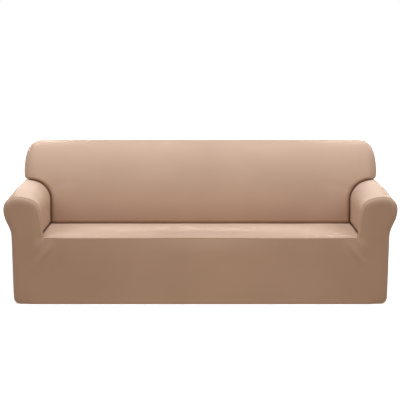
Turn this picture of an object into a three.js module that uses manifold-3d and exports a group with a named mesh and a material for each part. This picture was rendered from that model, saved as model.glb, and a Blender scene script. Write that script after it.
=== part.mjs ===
// A stretch cover that fits over a three-seat sofa with rolled arms. Millimetres, +Z up. The front
// faces -Y, and +X is on the right as one looks at the front. The origin is on the floor, under the
// middle of the cover.
//
// The cover is hollow: the sofa that it fits is left out. Three closed forms of the sofa (base,
// back and two arms) are joined at full size, the same forms drawn in by the cloth's thickness
// are cut from them, and the shell that is left is cut along the seams into the sewn panels.

import * as THREE from 'three';
import { mergeVertices } from 'three/addons/utils/BufferGeometryUtils.js';
import Module from 'manifold-3d';

// ---------------------------------------------------------------- driving dimensions

const CLOTH = 2.5;              // thickness of the doubled knit
const SEAM_GAP = 0.3;           // clearance between two sewn edges
const CREASE_GAP = 0.95;        // the same around the back, whose rounded ends grow less than this
const FAR = 1500;               // farther out than any part of the cover
const OVERLAP = 1;              // how far a cutting form passes through what it cuts

const DEPTH = 920;              // front skirt to outside back
const FRONT = -DEPTH / 2;
const REAR = DEPTH / 2;

const SEAT_HEIGHT = 390;        // floor to the top of the seat
const SEAT_EDGE_RADIUS = 22;    // roll along the seat's front edge
const SEAT_SEAM_HEIGHT = 384;   // where the seat panel is sewn to the front panel
const SEAT_DEPTH = 560;         // front edge to the foot of the back
const BASE_HALF_WIDTH = 1000;   // the base form ends inside the hollow arms

const EDGE_RADIUS = 18;         // soft edge around the arm facings and the outside back
const HEM_RETURN = 40;          // elastic hem drawn under the sofa, front and rear
const HEM_HALF_OPENING = 1020;  // half width of the opening between the side hems
const HEM_CUT_HEIGHT = 60;      // everything below this between the side hems is hem

const ARM = {
  innerX: 930,                  // inner face, beside the seat
  footX: 1087,                  // outer face at the hem
  cornerDrop: 46,               // size of the rounded lower corner, both ways
  neckX: 1093,                  // outer face where the roll starts
  neckHeight: 400,
  neckPull: { x: 2, up: 60 },   // how straight the outer face leaves the neck
  rollX: 1136,                  // widest point of the roll
  rollHeight: 558,
  rollPull: 75,                 // how long the roll stays upright under its widest point
  crownX: 1060,                 // highest line of the roll
  crownHeight: 652,
  shoulderHeight: 530,          // the inner face starts to curve over here
};

const FACING = {                // the arm's front end, where the roll is drawn in by the seam
  sink: 21,                     // how far the crown drops to the seam
  sinkLength: 350,              // over this length behind the facing
  sinkEase: 1.2,                // 1 is a straight slope, more is steeper at the seam
  sinkFrom: 470,                // only above this height
  sinkPower: 2.5,               // the sink gathers at the crown
  flare: 22,                    // how far the inner face spreads over the seat's front corner
  flareLength: 170,             // fading out over this length behind the facing
  flareEase: 2,
  flareFull: 440,               // full spread below this height
  flareEnd: 540,                // no spread above this height
  square: 22,                   // how far the inner shoulder is filled out
  squareLength: 160,            // fading out over this length behind the facing
  squareEase: 1.5,
  squareFrom: 400,              // only above this height, in full from the shoulder up
  squarePower: 3,               // the filling gathers at the inner face
};

const BACK = {
  footHeight: 200,              // hidden inside the base
  height: 880,
  crestY: 345,                  // highest line of the back
  frontPull: { low: 250, high: 160 },   // how far the front face stays upright, and the crest level
  rearHeight: 720,              // the outside back is upright below this
  rearPull: { high: 75, low: 100 },
  spineY: 380,                  // the rounded ends draw in toward this line
  halfWidth: 1113,
  cornerStart: 1000,            // each end rounds off from here to the half width
  bulgeHeight: 712,             // height of the widest point of an end
  cornerRise: 168,              // from the widest point to the top
  cornerFall: 156,              // from the widest point down into the arm
  cornerFoot: 560,              // the rounding does not reach below this
  cornerPower: 0.8,             // 1 is an ellipse, less is squarer
  endSqueeze: 0.5,              // how much thinner an end is at its tip
  fullestFall: 0.998,           // an end never narrows quite to its start
};

const END_SEAM = {              // seam between the inside back and an end gusset
  footHeight: 560,
  straightX: 1064,
  straightHeight: 770,
  bendHeight: 870,
  topX: 1026,
  topHeight: 905,
};

const CURVE_STEPS = 6;          // straight pieces in one curve of an outline
const EDGE_STEPS = 3;           // straight pieces around a soft edge
const FILL_STEPS = [0.05, 0.12, 0.22, 0.35, 0.5, 0.7, 1];   // along the length over which an arm fills
const END_STEPS = [0, 12, 26, 40, 54, 67, 78, 86];   // degrees around a rounded end of the back

const SHORTEST_SIDE = 0.5;      // shorter sides of an outline are left out
const MERGE_DISTANCE = 1e-3;    // points closer than this are one
const LEAST_COSINE = 0.5;       // limits how far a sharp corner is drawn in

const PALE_SAND = 0xcfae98;
const SIDE_SAND = 0xb8977f;
const MATT = { roughness: 0.95, metalness: 0 };

// ---------------------------------------------------------------- geometry helpers

const wasm = await Module();
wasm.setup();

/** Turns a closed three.js geometry into a solid that can be joined and cut. */
function solidOf(geometry) {
  const bare = geometry.index ? geometry.toNonIndexed() : geometry.clone();
  bare.deleteAttribute('normal');
  bare.deleteAttribute('uv');
  const merged = mergeVertices(bare, MERGE_DISTANCE);
  return new wasm.Manifold(new wasm.Mesh({
    numProp: 3,
    vertProperties: new Float32Array(merged.attributes.position.array),
    triVerts: new Uint32Array(merged.index.array),
  }));
}

/** Turns a solid back into a three.js geometry. */
function geometryOf(solid) {
  const mesh = solid.getMesh();
  const geometry = new THREE.BufferGeometry();
  geometry.setAttribute('position', new THREE.BufferAttribute(mesh.vertProperties, 3));
  geometry.setIndex(new THREE.BufferAttribute(mesh.triVerts, 1));
  geometry.computeVertexNormals();
  return geometry;
}

/** A box solid between two corners, each given as [x, y, z]. */
function boxSolid(low, high) {
  const size = high.map((value, axis) => value - low[axis]);
  const geometry = new THREE.BoxGeometry(...size);
  geometry.translate(...low.map((value, axis) => value + size[axis] / 2));
  return solidOf(geometry);
}

/** Draws a closed outline in along its own normals, so that it stays parallel to itself. */
function insetOutline(points, distance) {
  const turn = Math.sign(THREE.ShapeUtils.area(points));
  return points.map((point, index) => {
    const before = points[(index + points.length - 1) % points.length];
    const after = points[(index + 1) % points.length];
    const into = point.clone().sub(before).normalize();
    const out = after.clone().sub(point).normalize();
    const middle = into.clone().add(out).normalize();
    const stretch = 1 / Math.max(LEAST_COSINE, middle.dot(into));
    const inward = new THREE.Vector2(-middle.y, middle.x).multiplyScalar(turn * stretch);
    return point.clone().addScaledVector(inward, distance);
  });
}

/** The points of a closed path, each one once. */
function outlineOf(path) {
  const points = path.getPoints(CURVE_STEPS);
  return points.filter((point, index) => {
    const next = points[(index + 1) % points.length];
    return point.distanceTo(next) > SHORTEST_SIDE;
  });
}

/** Extrudes an outline of x and z along Y, between two Y values. */
function prismAlongY(outline, from, to) {
  const geometry = new THREE.ExtrudeGeometry(new THREE.Shape(outline), {
    depth: to - from,
    bevelEnabled: false,
  });
  geometry.rotateX(Math.PI / 2);
  geometry.translate(0, to, 0);
  return solidOf(geometry);
}

/** Joins rings of points, one after the other, into a closed skin, with a flat cap at each end. */
function loftSolid(rings, capOutline) {
  const ringSize = capOutline.length;
  const positions = rings.flat().flatMap((point) => point.toArray());
  const indices = [];
  for (let ring = 0; ring < rings.length - 1; ring += 1) {
    for (let step = 0; step < ringSize; step += 1) {
      const here = ring * ringSize + step;
      const next = ring * ringSize + (step + 1) % ringSize;
      indices.push(here, next, here + ringSize);
      indices.push(next, next + ringSize, here + ringSize);
    }
  }
  const lastRing = (rings.length - 1) * ringSize;
  for (const [a, b, c] of THREE.ShapeUtils.triangulateShape(capOutline, [])) {
    indices.push(a, c, b);
    indices.push(lastRing + a, lastRing + b, lastRing + c);
  }
  const geometry = new THREE.BufferGeometry();
  geometry.setAttribute('position', new THREE.Float32BufferAttribute(positions, 3));
  geometry.setIndex(indices);
  return solidOf(geometry);
}

// ---------------------------------------------------------------- the forms of the sofa
// Each takes how far its surface is drawn in: 0 for the outside of the cloth, CLOTH for its inside,
// and a small negative value for a form that keeps its neighbours clear.

/** Outline of the right arm from the front, as x and z, counterclockwise from the inner foot. */
function armOutline() {
  const path = new THREE.Path();
  path.moveTo(ARM.innerX, 0);
  path.lineTo(ARM.footX - ARM.cornerDrop, 0);
  path.quadraticCurveTo(ARM.footX, 0, ARM.footX, ARM.cornerDrop);
  path.lineTo(ARM.neckX, ARM.neckHeight);
  path.bezierCurveTo(
    ARM.neckX + ARM.neckPull.x, ARM.neckHeight + ARM.neckPull.up,
    ARM.rollX, ARM.rollHeight - ARM.rollPull,
    ARM.rollX, ARM.rollHeight,
  );
  path.absellipse(
    ARM.crownX, ARM.rollHeight,
    ARM.rollX - ARM.crownX, ARM.crownHeight - ARM.rollHeight,
    0, Math.PI / 2,
  );
  path.absellipse(
    ARM.crownX, ARM.shoulderHeight,
    ARM.crownX - ARM.innerX, ARM.crownHeight - ARM.shoulderHeight,
    Math.PI / 2, Math.PI,
  );
  return outlineOf(path);
}

/** Distances behind an end face, and how far the outline is drawn in there, around a soft edge. */
function softEdge(radius) {
  return Array.from({ length: EDGE_STEPS + 1 }, (_, step) => {
    const angle = (step / EDGE_STEPS) * (Math.PI / 2);
    return { behind: radius * (1 - Math.cos(angle)), draw: radius * (1 - Math.sin(angle)) };
  });
}

/** Shapes one point of an arm's outline near the facing, where the seam draws the roll in. */
function shapeAtFacing(point, behind) {
  const { clamp, smoothstep } = THREE.MathUtils;
  const inner = clamp((ARM.crownX - point.x) / (ARM.crownX - ARM.innerX), 0, 1);

  const filled = clamp((behind - EDGE_RADIUS) / (FACING.sinkLength - EDGE_RADIUS), 0, 1);
  const high = clamp((point.y - FACING.sinkFrom) / (ARM.crownHeight - FACING.sinkFrom), 0, 1);
  const sink = FACING.sink * (1 - filled) ** FACING.sinkEase * high ** FACING.sinkPower;

  const spread = clamp(1 - behind / FACING.flareLength, 0, 1) ** FACING.flareEase;
  const low = clamp((FACING.flareEnd - point.y) / (FACING.flareEnd - FACING.flareFull), 0, 1);
  const flare = FACING.flare * spread * inner * low;

  const near = clamp(1 - (behind - EDGE_RADIUS) / FACING.squareLength, 0, 1) ** FACING.squareEase;
  const above = smoothstep(point.y, FACING.squareFrom, ARM.shoulderHeight);
  const lift = FACING.square * near * inner ** FACING.squarePower * above;

  return new THREE.Vector2(point.x - flare, point.y - sink + lift);
}

/** One arm, from the facing to the outside back, on the side of +X or -X. */
function armForm(side, inset) {
  const edge = softEdge(EDGE_RADIUS - inset);
  const rearStations = edge.map(({ behind, draw }) => ({ y: REAR - inset - behind, draw }));
  const fillStations = FILL_STEPS.map((share) => {
    const length = FACING.sinkLength - EDGE_RADIUS;
    return { y: FRONT + EDGE_RADIUS + share * length, draw: 0 };
  });
  const frontStations = edge.map(({ behind, draw }) => ({ y: FRONT + inset + behind, draw }));
  const stations = [...rearStations, ...fillStations.reverse(), ...frontStations.reverse()];
  const rings = stations.map(({ y, draw }) => {
    const section = insetOutline(armOutline(), inset + draw).map((point) => {
      const { x, y: height } = shapeAtFacing(point, y - FRONT);
      return new THREE.Vector3(side * x, y, height);
    });
    return side > 0 ? section : section.reverse();
  });
  return loftSolid(rings, rings[0].map((point) => new THREE.Vector2(point.x, point.z)));
}

/** The base between the arms, with the roll along the seat's front edge. */
function baseForm(inset) {
  const corner = EDGE_RADIUS;
  const roll = SEAT_EDGE_RADIUS;
  const path = new THREE.Path();
  path.moveTo(FRONT + corner, 0);
  path.lineTo(REAR - corner, 0);
  path.absarc(REAR - corner, corner, corner, -Math.PI / 2, 0);
  path.lineTo(REAR, SEAT_HEIGHT);
  path.lineTo(FRONT + roll, SEAT_HEIGHT);
  path.absarc(FRONT + roll, SEAT_HEIGHT - roll, roll, Math.PI / 2, Math.PI);
  path.lineTo(FRONT, corner);
  path.absarc(FRONT + corner, corner, corner, Math.PI, 1.5 * Math.PI);
  const outline = insetOutline(outlineOf(path), inset);
  const halfWidth = BASE_HALF_WIDTH - inset;
  const ends = [-halfWidth, halfWidth];
  const rings = ends.map((x) => outline.map((point) => new THREE.Vector3(x, point.x, point.y)));
  return loftSolid(rings, outline);
}

/** Side outline of the back, as y and z: leaning front face, crest and upright rear. */
function backOutline() {
  const frontY = FRONT + SEAT_DEPTH;
  const { crestY, height, rearHeight, frontPull, rearPull } = BACK;
  const path = new THREE.Path();
  path.moveTo(frontY, BACK.footHeight);
  path.lineTo(REAR, BACK.footHeight);
  path.lineTo(REAR, rearHeight);
  path.bezierCurveTo(
    REAR, rearHeight + rearPull.low,
    crestY + rearPull.high, height,
    crestY, height,
  );
  path.bezierCurveTo(
    crestY - frontPull.high, height,
    frontY, SEAT_HEIGHT + frontPull.low,
    frontY, SEAT_HEIGHT,
  );
  return outlineOf(path);
}

/** One section of the back at a given angle around its rounded end on the side of +X or -X. */
function backSection(outline, side, around, inset) {
  const { cornerStart, halfWidth, cornerRise, cornerFall, cornerFoot, bulgeHeight } = BACK;
  const reach = Math.cos(around) ** BACK.cornerPower;
  const spread = Math.sin(around) ** BACK.cornerPower;
  const squeeze = 1 - BACK.endSqueeze * (1 - reach);
  return outline.map((point) => {
    const lift = THREE.MathUtils.clamp((point.y - cornerFoot) / (BACK.height - cornerFoot), 0, 1);
    const height = point.y - cornerRise * (1 - reach) * lift;
    const fallen = (bulgeHeight - height) / (cornerFall - inset);
    const fall = THREE.MathUtils.clamp(fallen, 0, BACK.fullestFall);
    const x = cornerStart + spread * ((halfWidth - cornerStart) * Math.sqrt(1 - fall ** 2) - inset);
    return new THREE.Vector3(side * x, BACK.spineY + (point.x - BACK.spineY) * squeeze, height);
  });
}

/** The back, full width, with both ends rounded off. */
function backForm(inset) {
  const outline = insetOutline(backOutline(), inset);
  const angles = END_STEPS.map(THREE.MathUtils.degToRad);
  const leftHalf = angles.map((around) => backSection(outline, -1, around, inset)).reverse();
  const rightHalf = angles.map((around) => backSection(outline, 1, around, inset));
  return loftSolid([...leftHalf, ...rightHalf], outline);
}

// ---------------------------------------------------------------- seams
// A region is the part of the cover on one side of a seam, grown by a gap on that side.

/** Everything that is sewn into the front panel: skirt, both arm facings and the front hem. */
function frontRegion(gap) {
  const slab = boxSolid([-FAR, -FAR, -FAR], [FAR, FRONT + EDGE_RADIUS + gap, FAR]);
  const seatSide = ARM.innerX - FACING.flare - gap;
  const aboveSeat = boxSolid(
    [-seatSide, -FAR - OVERLAP, SEAT_SEAM_HEIGHT + gap],
    [seatSide, FAR, FAR + OVERLAP],
  );
  const hemSide = HEM_HALF_OPENING + gap;
  const hemRear = FRONT + HEM_RETURN + OVERLAP + gap;
  const hem = boxSolid([-hemSide, -FAR, -FAR], [hemSide, hemRear, HEM_CUT_HEIGHT]);
  return slab.subtract(aboveSeat).add(hem);
}

/** Everything that is sewn into the outside back, with the rear hem. */
function rearRegion(gap) {
  const slab = boxSolid([-FAR, REAR - EDGE_RADIUS - gap, -FAR], [FAR, FAR, FAR]);
  const hemSide = HEM_HALF_OPENING + gap;
  const hemFront = REAR - HEM_RETURN - OVERLAP - gap;
  const hem = boxSolid([-hemSide, hemFront, -FAR], [hemSide, FAR, HEM_CUT_HEIGHT]);
  return slab.add(hem);
}

/** The end of the back outside its end seam, on the side of +X or -X. */
function endRegion(side, gap) {
  const { footHeight, straightX, straightHeight, bendHeight, topX, topHeight } = END_SEAM;
  const path = new THREE.Path();
  path.moveTo(FAR, footHeight);
  path.lineTo(FAR, topHeight);
  path.lineTo(topX - gap, topHeight);
  path.quadraticCurveTo(straightX - gap, bendHeight, straightX - gap, straightHeight);
  path.lineTo(straightX - gap, footHeight);
  const outline = outlineOf(path).map((point) => new THREE.Vector2(side * point.x, point.y));
  return prismAlongY(outline, -FAR, FAR);
}

// ---------------------------------------------------------------- the cover

const SIDES = [
  { name: 'right', side: 1 },
  { name: 'left', side: -1 },
];

/** Joins several solids into one. */
function joined(solids) {
  return solids.reduce((whole, solid) => whole.add(solid));
}

/** The three forms together, as one solid. */
function sofaForm(inset) {
  const arms = SIDES.map(({ side }) => armForm(side, inset));
  return joined([baseForm(inset), backForm(inset), ...arms]);
}

/** The opening under the cover, between the hems. */
function hemOpening() {
  return boxSolid(
    [-HEM_HALF_OPENING, FRONT + HEM_RETURN, -OVERLAP],
    [HEM_HALF_OPENING, REAR - HEM_RETURN, HEM_CUT_HEIGHT],
  );
}

/** Cuts the whole shell into its sewn panels. */
function cutPanels() {
  const shell = sofaForm(0).subtract(sofaForm(CLOTH)).subtract(hemOpening());
  const clearOfEdges = shell.subtract(frontRegion(SEAM_GAP)).subtract(rearRegion(SEAM_GAP));
  const backShell = clearOfEdges.intersect(backForm(0));
  const clearOfBack = clearOfEdges.subtract(backForm(-CREASE_GAP));
  const ends = SIDES.map(({ side }) => endRegion(side, SEAM_GAP));
  const arms = SIDES.map(({ side }) => armForm(side, -SEAM_GAP));
  const rear = shell.subtract(frontRegion(SEAM_GAP)).intersect(rearRegion(0));
  const panels = [
    { name: 'front_panel', solid: shell.intersect(frontRegion(0)), color: SIDE_SAND },
    { name: 'outside_back', solid: rear, color: SIDE_SAND },
    { name: 'inside_back', solid: backShell.subtract(joined(ends)), color: PALE_SAND },
    { name: 'seat_panel', solid: clearOfBack.subtract(joined(arms)), color: PALE_SAND },
  ];
  for (const { name, side } of SIDES) {
    const end = backShell.intersect(endRegion(side, 0));
    const arm = clearOfBack.intersect(armForm(side, 0));
    panels.push({ name: `back_end_${name}`, solid: end, color: SIDE_SAND });
    panels.push({ name: `arm_${name}`, solid: arm, color: PALE_SAND });
  }
  return panels;
}

const cover = new THREE.Group();
cover.name = 'sofa_cover';

for (const { name, solid, color } of cutPanels()) {
  const cloth = new THREE.MeshStandardMaterial({ color, ...MATT });
  const panel = new THREE.Mesh(geometryOf(solid), cloth);
  panel.name = name;
  cover.add(panel);
}

export default cover;
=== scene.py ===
"""Looks of a stretch cover that fits over a three-seat sofa with rolled arms.

The sofa inside is left out. The cover is eight sewn panels of one ribbed stretch knit. Each panel
is a sheet laid on its own smooth form, with its edges rolled over and tucked into the creases
and seams, and the creases that the stretched cloth shows laid in. Metres, +Z up, front
towards -Y, as the frame.
"""

import logging
import math
from dataclasses import dataclass, replace
from enum import Enum
from functools import cached_property
from typing import Callable, Optional, Sequence

import bpy
import numpy as np
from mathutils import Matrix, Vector
from mathutils.geometry import delaunay_2d_cdt
from mathutils.kdtree import KDTree


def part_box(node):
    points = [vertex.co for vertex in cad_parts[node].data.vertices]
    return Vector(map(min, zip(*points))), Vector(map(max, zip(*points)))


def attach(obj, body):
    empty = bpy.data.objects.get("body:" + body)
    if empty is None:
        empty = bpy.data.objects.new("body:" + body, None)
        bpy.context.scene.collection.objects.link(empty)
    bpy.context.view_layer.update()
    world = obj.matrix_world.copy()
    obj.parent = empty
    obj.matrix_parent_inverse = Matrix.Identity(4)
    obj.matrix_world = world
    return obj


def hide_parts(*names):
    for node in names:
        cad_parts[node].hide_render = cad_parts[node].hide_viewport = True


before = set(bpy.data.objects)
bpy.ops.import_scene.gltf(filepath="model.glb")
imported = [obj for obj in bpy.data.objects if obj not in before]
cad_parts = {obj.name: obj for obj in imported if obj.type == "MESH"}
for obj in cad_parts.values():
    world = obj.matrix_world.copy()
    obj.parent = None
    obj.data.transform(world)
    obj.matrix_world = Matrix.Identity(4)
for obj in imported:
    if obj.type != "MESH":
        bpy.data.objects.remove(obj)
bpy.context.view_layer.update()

Array = np.ndarray
Pair = tuple[float, float]
Triple = tuple[float, float, float]
Number = bpy.types.NodeSocket | float

LOG = logging.getLogger("sofa_cover")

CLOTH = 0.0025  # thickness of the doubled knit
CLOTH_MAP = "Cloth"  # the UV map that holds each panel's chart, in metres
BACK_FOOT_Y = 0.100  # where the back meets the seat
SEAT_SEAM_HEIGHT = 0.388
JOIN_SPACING = 0.007  # between points along the lines where panels meet
SEAM_ROOM = 0.0004  # half of the least room between two edges that meet

CURVE_STEPS = 240  # points in one bend of an outline
PROBE = 0.0004  # step over which a surface's slope is read
HALVINGS = 34  # steps in a search by halving
NEARLY_ONE = 0.998
CORNER_COSINE = 0.85  # a loop that turns by more than this has a corner
SLIDE_REACH = 3.0  # how far from a corner points slide along, in lengths of the slide
FOLD_STEPS = 16  # points along a fold's bend
SAME_POINT = 1e-7  # points nearer to each other than this are one
LEAST_STEP = 0.0002  # between two rows of points in a roll
LEAST_SINE = 0.2  # these three keep sharp turns and foreshortened charts from taking up too much
LEAST_COSINE = 0.5
LEAST_STRETCH = 0.3

UNDER_BACK = (0.0, 1.0, -0.2)  # the way the seat and the back are tucked in between them
UNDER_SEAT = (0.0, 0.55, -0.85)  # the way the seat and the skirt are turned in at their seam
UNDER_ARM = (1.0, 0.0, -1.0)  # the way the seat and the right arm are tucked in between them


# ---------------- curves and vectors


def unit(vectors: Array) -> Array:
    """Scales each row to length one."""
    return vectors / np.maximum(np.linalg.norm(vectors, axis=-1, keepdims=True), 1e-12)


def ramp(value: Array, start: float, end: float) -> Array:
    """Goes evenly from 0 at start to 1 at end."""
    return np.clip((value - start) / (end - start), 0, 1)


def fade(value: Array, start: float, end: float) -> Array:
    """Goes smoothly from 0 at start to 1 at end."""
    share = ramp(value, start, end)
    return share * share * (3 - 2 * share)


def bezier(*points: Sequence[float], count: int = CURVE_STEPS) -> Array:
    """Points along a Bezier curve.

    Args:
        points: its control points, two coordinates each.
        count: how many points to give.

    Returns:
        An array of count rows.
    """
    share = np.linspace(0, 1, count)[:, None]
    rows = [np.broadcast_to(np.array(point, float), (count, 2)) for point in points]
    while len(rows) > 1:
        rows = [first * (1 - share) + second * share for first, second in zip(rows, rows[1:])]
    return rows[0]


def ellipse_arc(centre: Sequence[float], radii: Sequence[float], start: float, end: float) -> Array:
    """Points along an arc of an ellipse, between two angles in degrees."""
    angles = np.radians(np.linspace(start, end, CURVE_STEPS))
    return np.array(centre) + np.array(radii) * np.stack([np.cos(angles), np.sin(angles)], axis=1)


def lengths_along(points: Array) -> Array:
    """The length along a path at each of its points."""
    return np.concatenate([[0], np.cumsum(np.linalg.norm(np.diff(points, axis=0), axis=1))])


def evenly(points: Array, spacing: float, places: Optional[Array] = None) -> Array:
    """Places points evenly along a path, its two ends among them.

    Args:
        points: the path.
        spacing: about how far apart the new points are.
        places: where the points really lie, if their own coordinates don't give true lengths.

    Returns:
        The new points.
    """
    lengths = lengths_along(points if places is None else places)
    wanted = np.linspace(0, lengths[-1], max(2, int(round(lengths[-1] / spacing)) + 1))
    return np.stack([np.interp(wanted, lengths, column) for column in points.T], axis=1)


def straight(start: Sequence[float], end: Sequence[float], spacing: float) -> Array:
    """Evenly placed points from start to end."""
    return evenly(np.array([start, end], float), spacing)


def cut_where(rows: Array, values: Array, wanted: float) -> tuple[Array, Array]:
    """Cuts a path where a value that rises along it passes the wanted one.

    Args:
        rows: the path's places.
        values: the value at each place.
        wanted: the value at the cut.

    Returns:
        The places up to the cut and those from the cut on, with the cut itself in both.
    """
    stop = int(np.argmax(values > wanted))
    share = (wanted - values[stop - 1]) / (values[stop] - values[stop - 1])
    cut = rows[stop - 1] + share * (rows[stop] - rows[stop - 1])
    return np.concatenate([rows[:stop], [cut]]), np.concatenate([[cut], rows[stop:]])


def halved(low: Array, high: Array, holds: Callable[[Array], Array]) -> Array:
    """Searches by halving for the last values for which a test holds.

    Args:
        low: values for which it holds.
        high: values for which it doesn't.
        holds: the test, for an array of values.

    Returns:
        The last values, in between.
    """
    for _ in range(HALVINGS):
        middle = (low + high) / 2
        held = holds(middle)
        low, high = np.where(held, middle, low), np.where(held, high, middle)
    return low


def square_to(surface: Callable[[Array], Array], chart: Array) -> Array:
    """Directions square to a surface at places on its chart, on the side from which the chart turns left.

    Args:
        surface: gives places from places on its chart.
        chart: the places on the chart.

    Returns:
        The directions.
    """
    right, up = np.array([PROBE, 0]), np.array([0, PROBE])
    across = surface(chart + right) - surface(chart - right)
    along = surface(chart + up) - surface(chart - up)
    return unit(np.cross(across, along))


def sideways(outline: Array) -> Array:
    """Directions square to an outline of x and z, on its right as one goes along it."""
    along = unit(np.gradient(outline, axis=0))
    return np.stack([along[:, 1], np.zeros(len(outline)), -along[:, 0]], -1)


def mirrored(points: Array) -> Array:
    """The same row of places or directions on the other side of the middle, in the other order."""
    result = points[::-1].copy()
    result[:, 0] *= -1
    return result


class Track:
    """A smooth plane curve that is read by the length along it."""

    def __init__(self, *parts: Array) -> None:
        """Joins the parts, in order, into one curve."""
        points = np.concatenate(parts)
        steps = np.linalg.norm(np.diff(points, axis=0), axis=1)
        self.points = points[np.concatenate([[True], steps > SAME_POINT])]
        self.lengths = lengths_along(self.points)
        self.length = float(self.lengths[-1])

    def at(self, along: Array) -> Array:
        """Points at the given lengths, carried on straight past both ends.

        Args:
            along: the lengths.

        Returns:
            The points.
        """
        inside = np.clip(along, 0, self.length)
        points = np.stack([np.interp(inside, self.lengths, column) for column in self.points.T], -1)
        first = unit(self.points[1] - self.points[0])
        last = unit(self.points[-1] - self.points[-2])
        before = np.minimum(along, 0)[..., None] * first
        after = np.maximum(along - self.length, 0)[..., None] * last
        return points + before + after

    def spread(self, count: int, start: float = 0.0) -> Array:
        """A number of points, evenly from the given length to the end."""
        return self.at(np.linspace(start, self.length, count))

    def normal(self, along: Array) -> Array:
        """Directions square to the curve, on its left as one goes along it."""
        ahead = unit(self.at(along + 4 * PROBE) - self.at(along - 4 * PROBE))
        return np.stack([-ahead[..., 1], ahead[..., 0]], -1)

    def where(self, column: int, value: float, low: float, high: float) -> float:
        """The length, from low to high, at which a steadily rising or falling coordinate has a value.

        Args:
            column: 0 or 1, the coordinate.
            value: the value it has.
            low: the least length.
            high: the greatest length.

        Returns:
            The length.
        """
        inside = (self.lengths >= low) & (self.lengths <= high)
        values, lengths = self.points[inside, column], self.lengths[inside]
        order = np.argsort(values)
        return float(np.interp(value, values[order], lengths[order]))


def distance_to(points: Array, path: Array) -> tuple[Array, Array]:
    """Distances from points to a path in the plane.

    Args:
        points: rows of two coordinates.
        path: the path's corners.

    Returns:
        Each point's distance, and the share of the path's corners passed where it is nearest.
    """
    best = np.full(len(points), np.inf)
    share = np.zeros(len(points))
    last = max(len(path) - 1, 1)
    for index, (start, end) in enumerate(zip(path, path[1:])):
        span = end - start
        along = np.clip(((points - start) @ span) / max(span @ span, 1e-18), 0, 1)
        gap = np.linalg.norm(points - start - along[:, None] * span, axis=1)
        nearer = gap < best
        best[nearer] = gap[nearer]
        share[nearer] = (index + along[nearer]) / last
    return best, share


def inside_loop(points: Array, loop: Array) -> Array:
    """Tells which points lie inside a closed loop in the plane.

    Args:
        points: rows of two coordinates.
        loop: the loop's corners.

    Returns:
        True or False for each point.
    """
    result = np.zeros(len(points), bool)
    for (x0, y0), (x1, y1) in zip(loop, np.roll(loop, -1, axis=0)):
        crosses = (y0 > points[:, 1]) != (y1 > points[:, 1])
        if y0 != y1:
            result ^= crosses & (points[:, 0] < (x1 - x0) * (points[:, 1] - y0) / (y1 - y0) + x0)
    return result


def rounded(inside: Array, radius: float, steepest: float = 1.0) -> Array:
    """How far a face drops beside a rounded edge, where its slant's sine is the steepest one."""
    sine = np.clip(steepest - inside / radius, 0, steepest)
    return radius * (1 - np.sqrt(1 - sine**2))


# ---------------- the forms under the cloth


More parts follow.
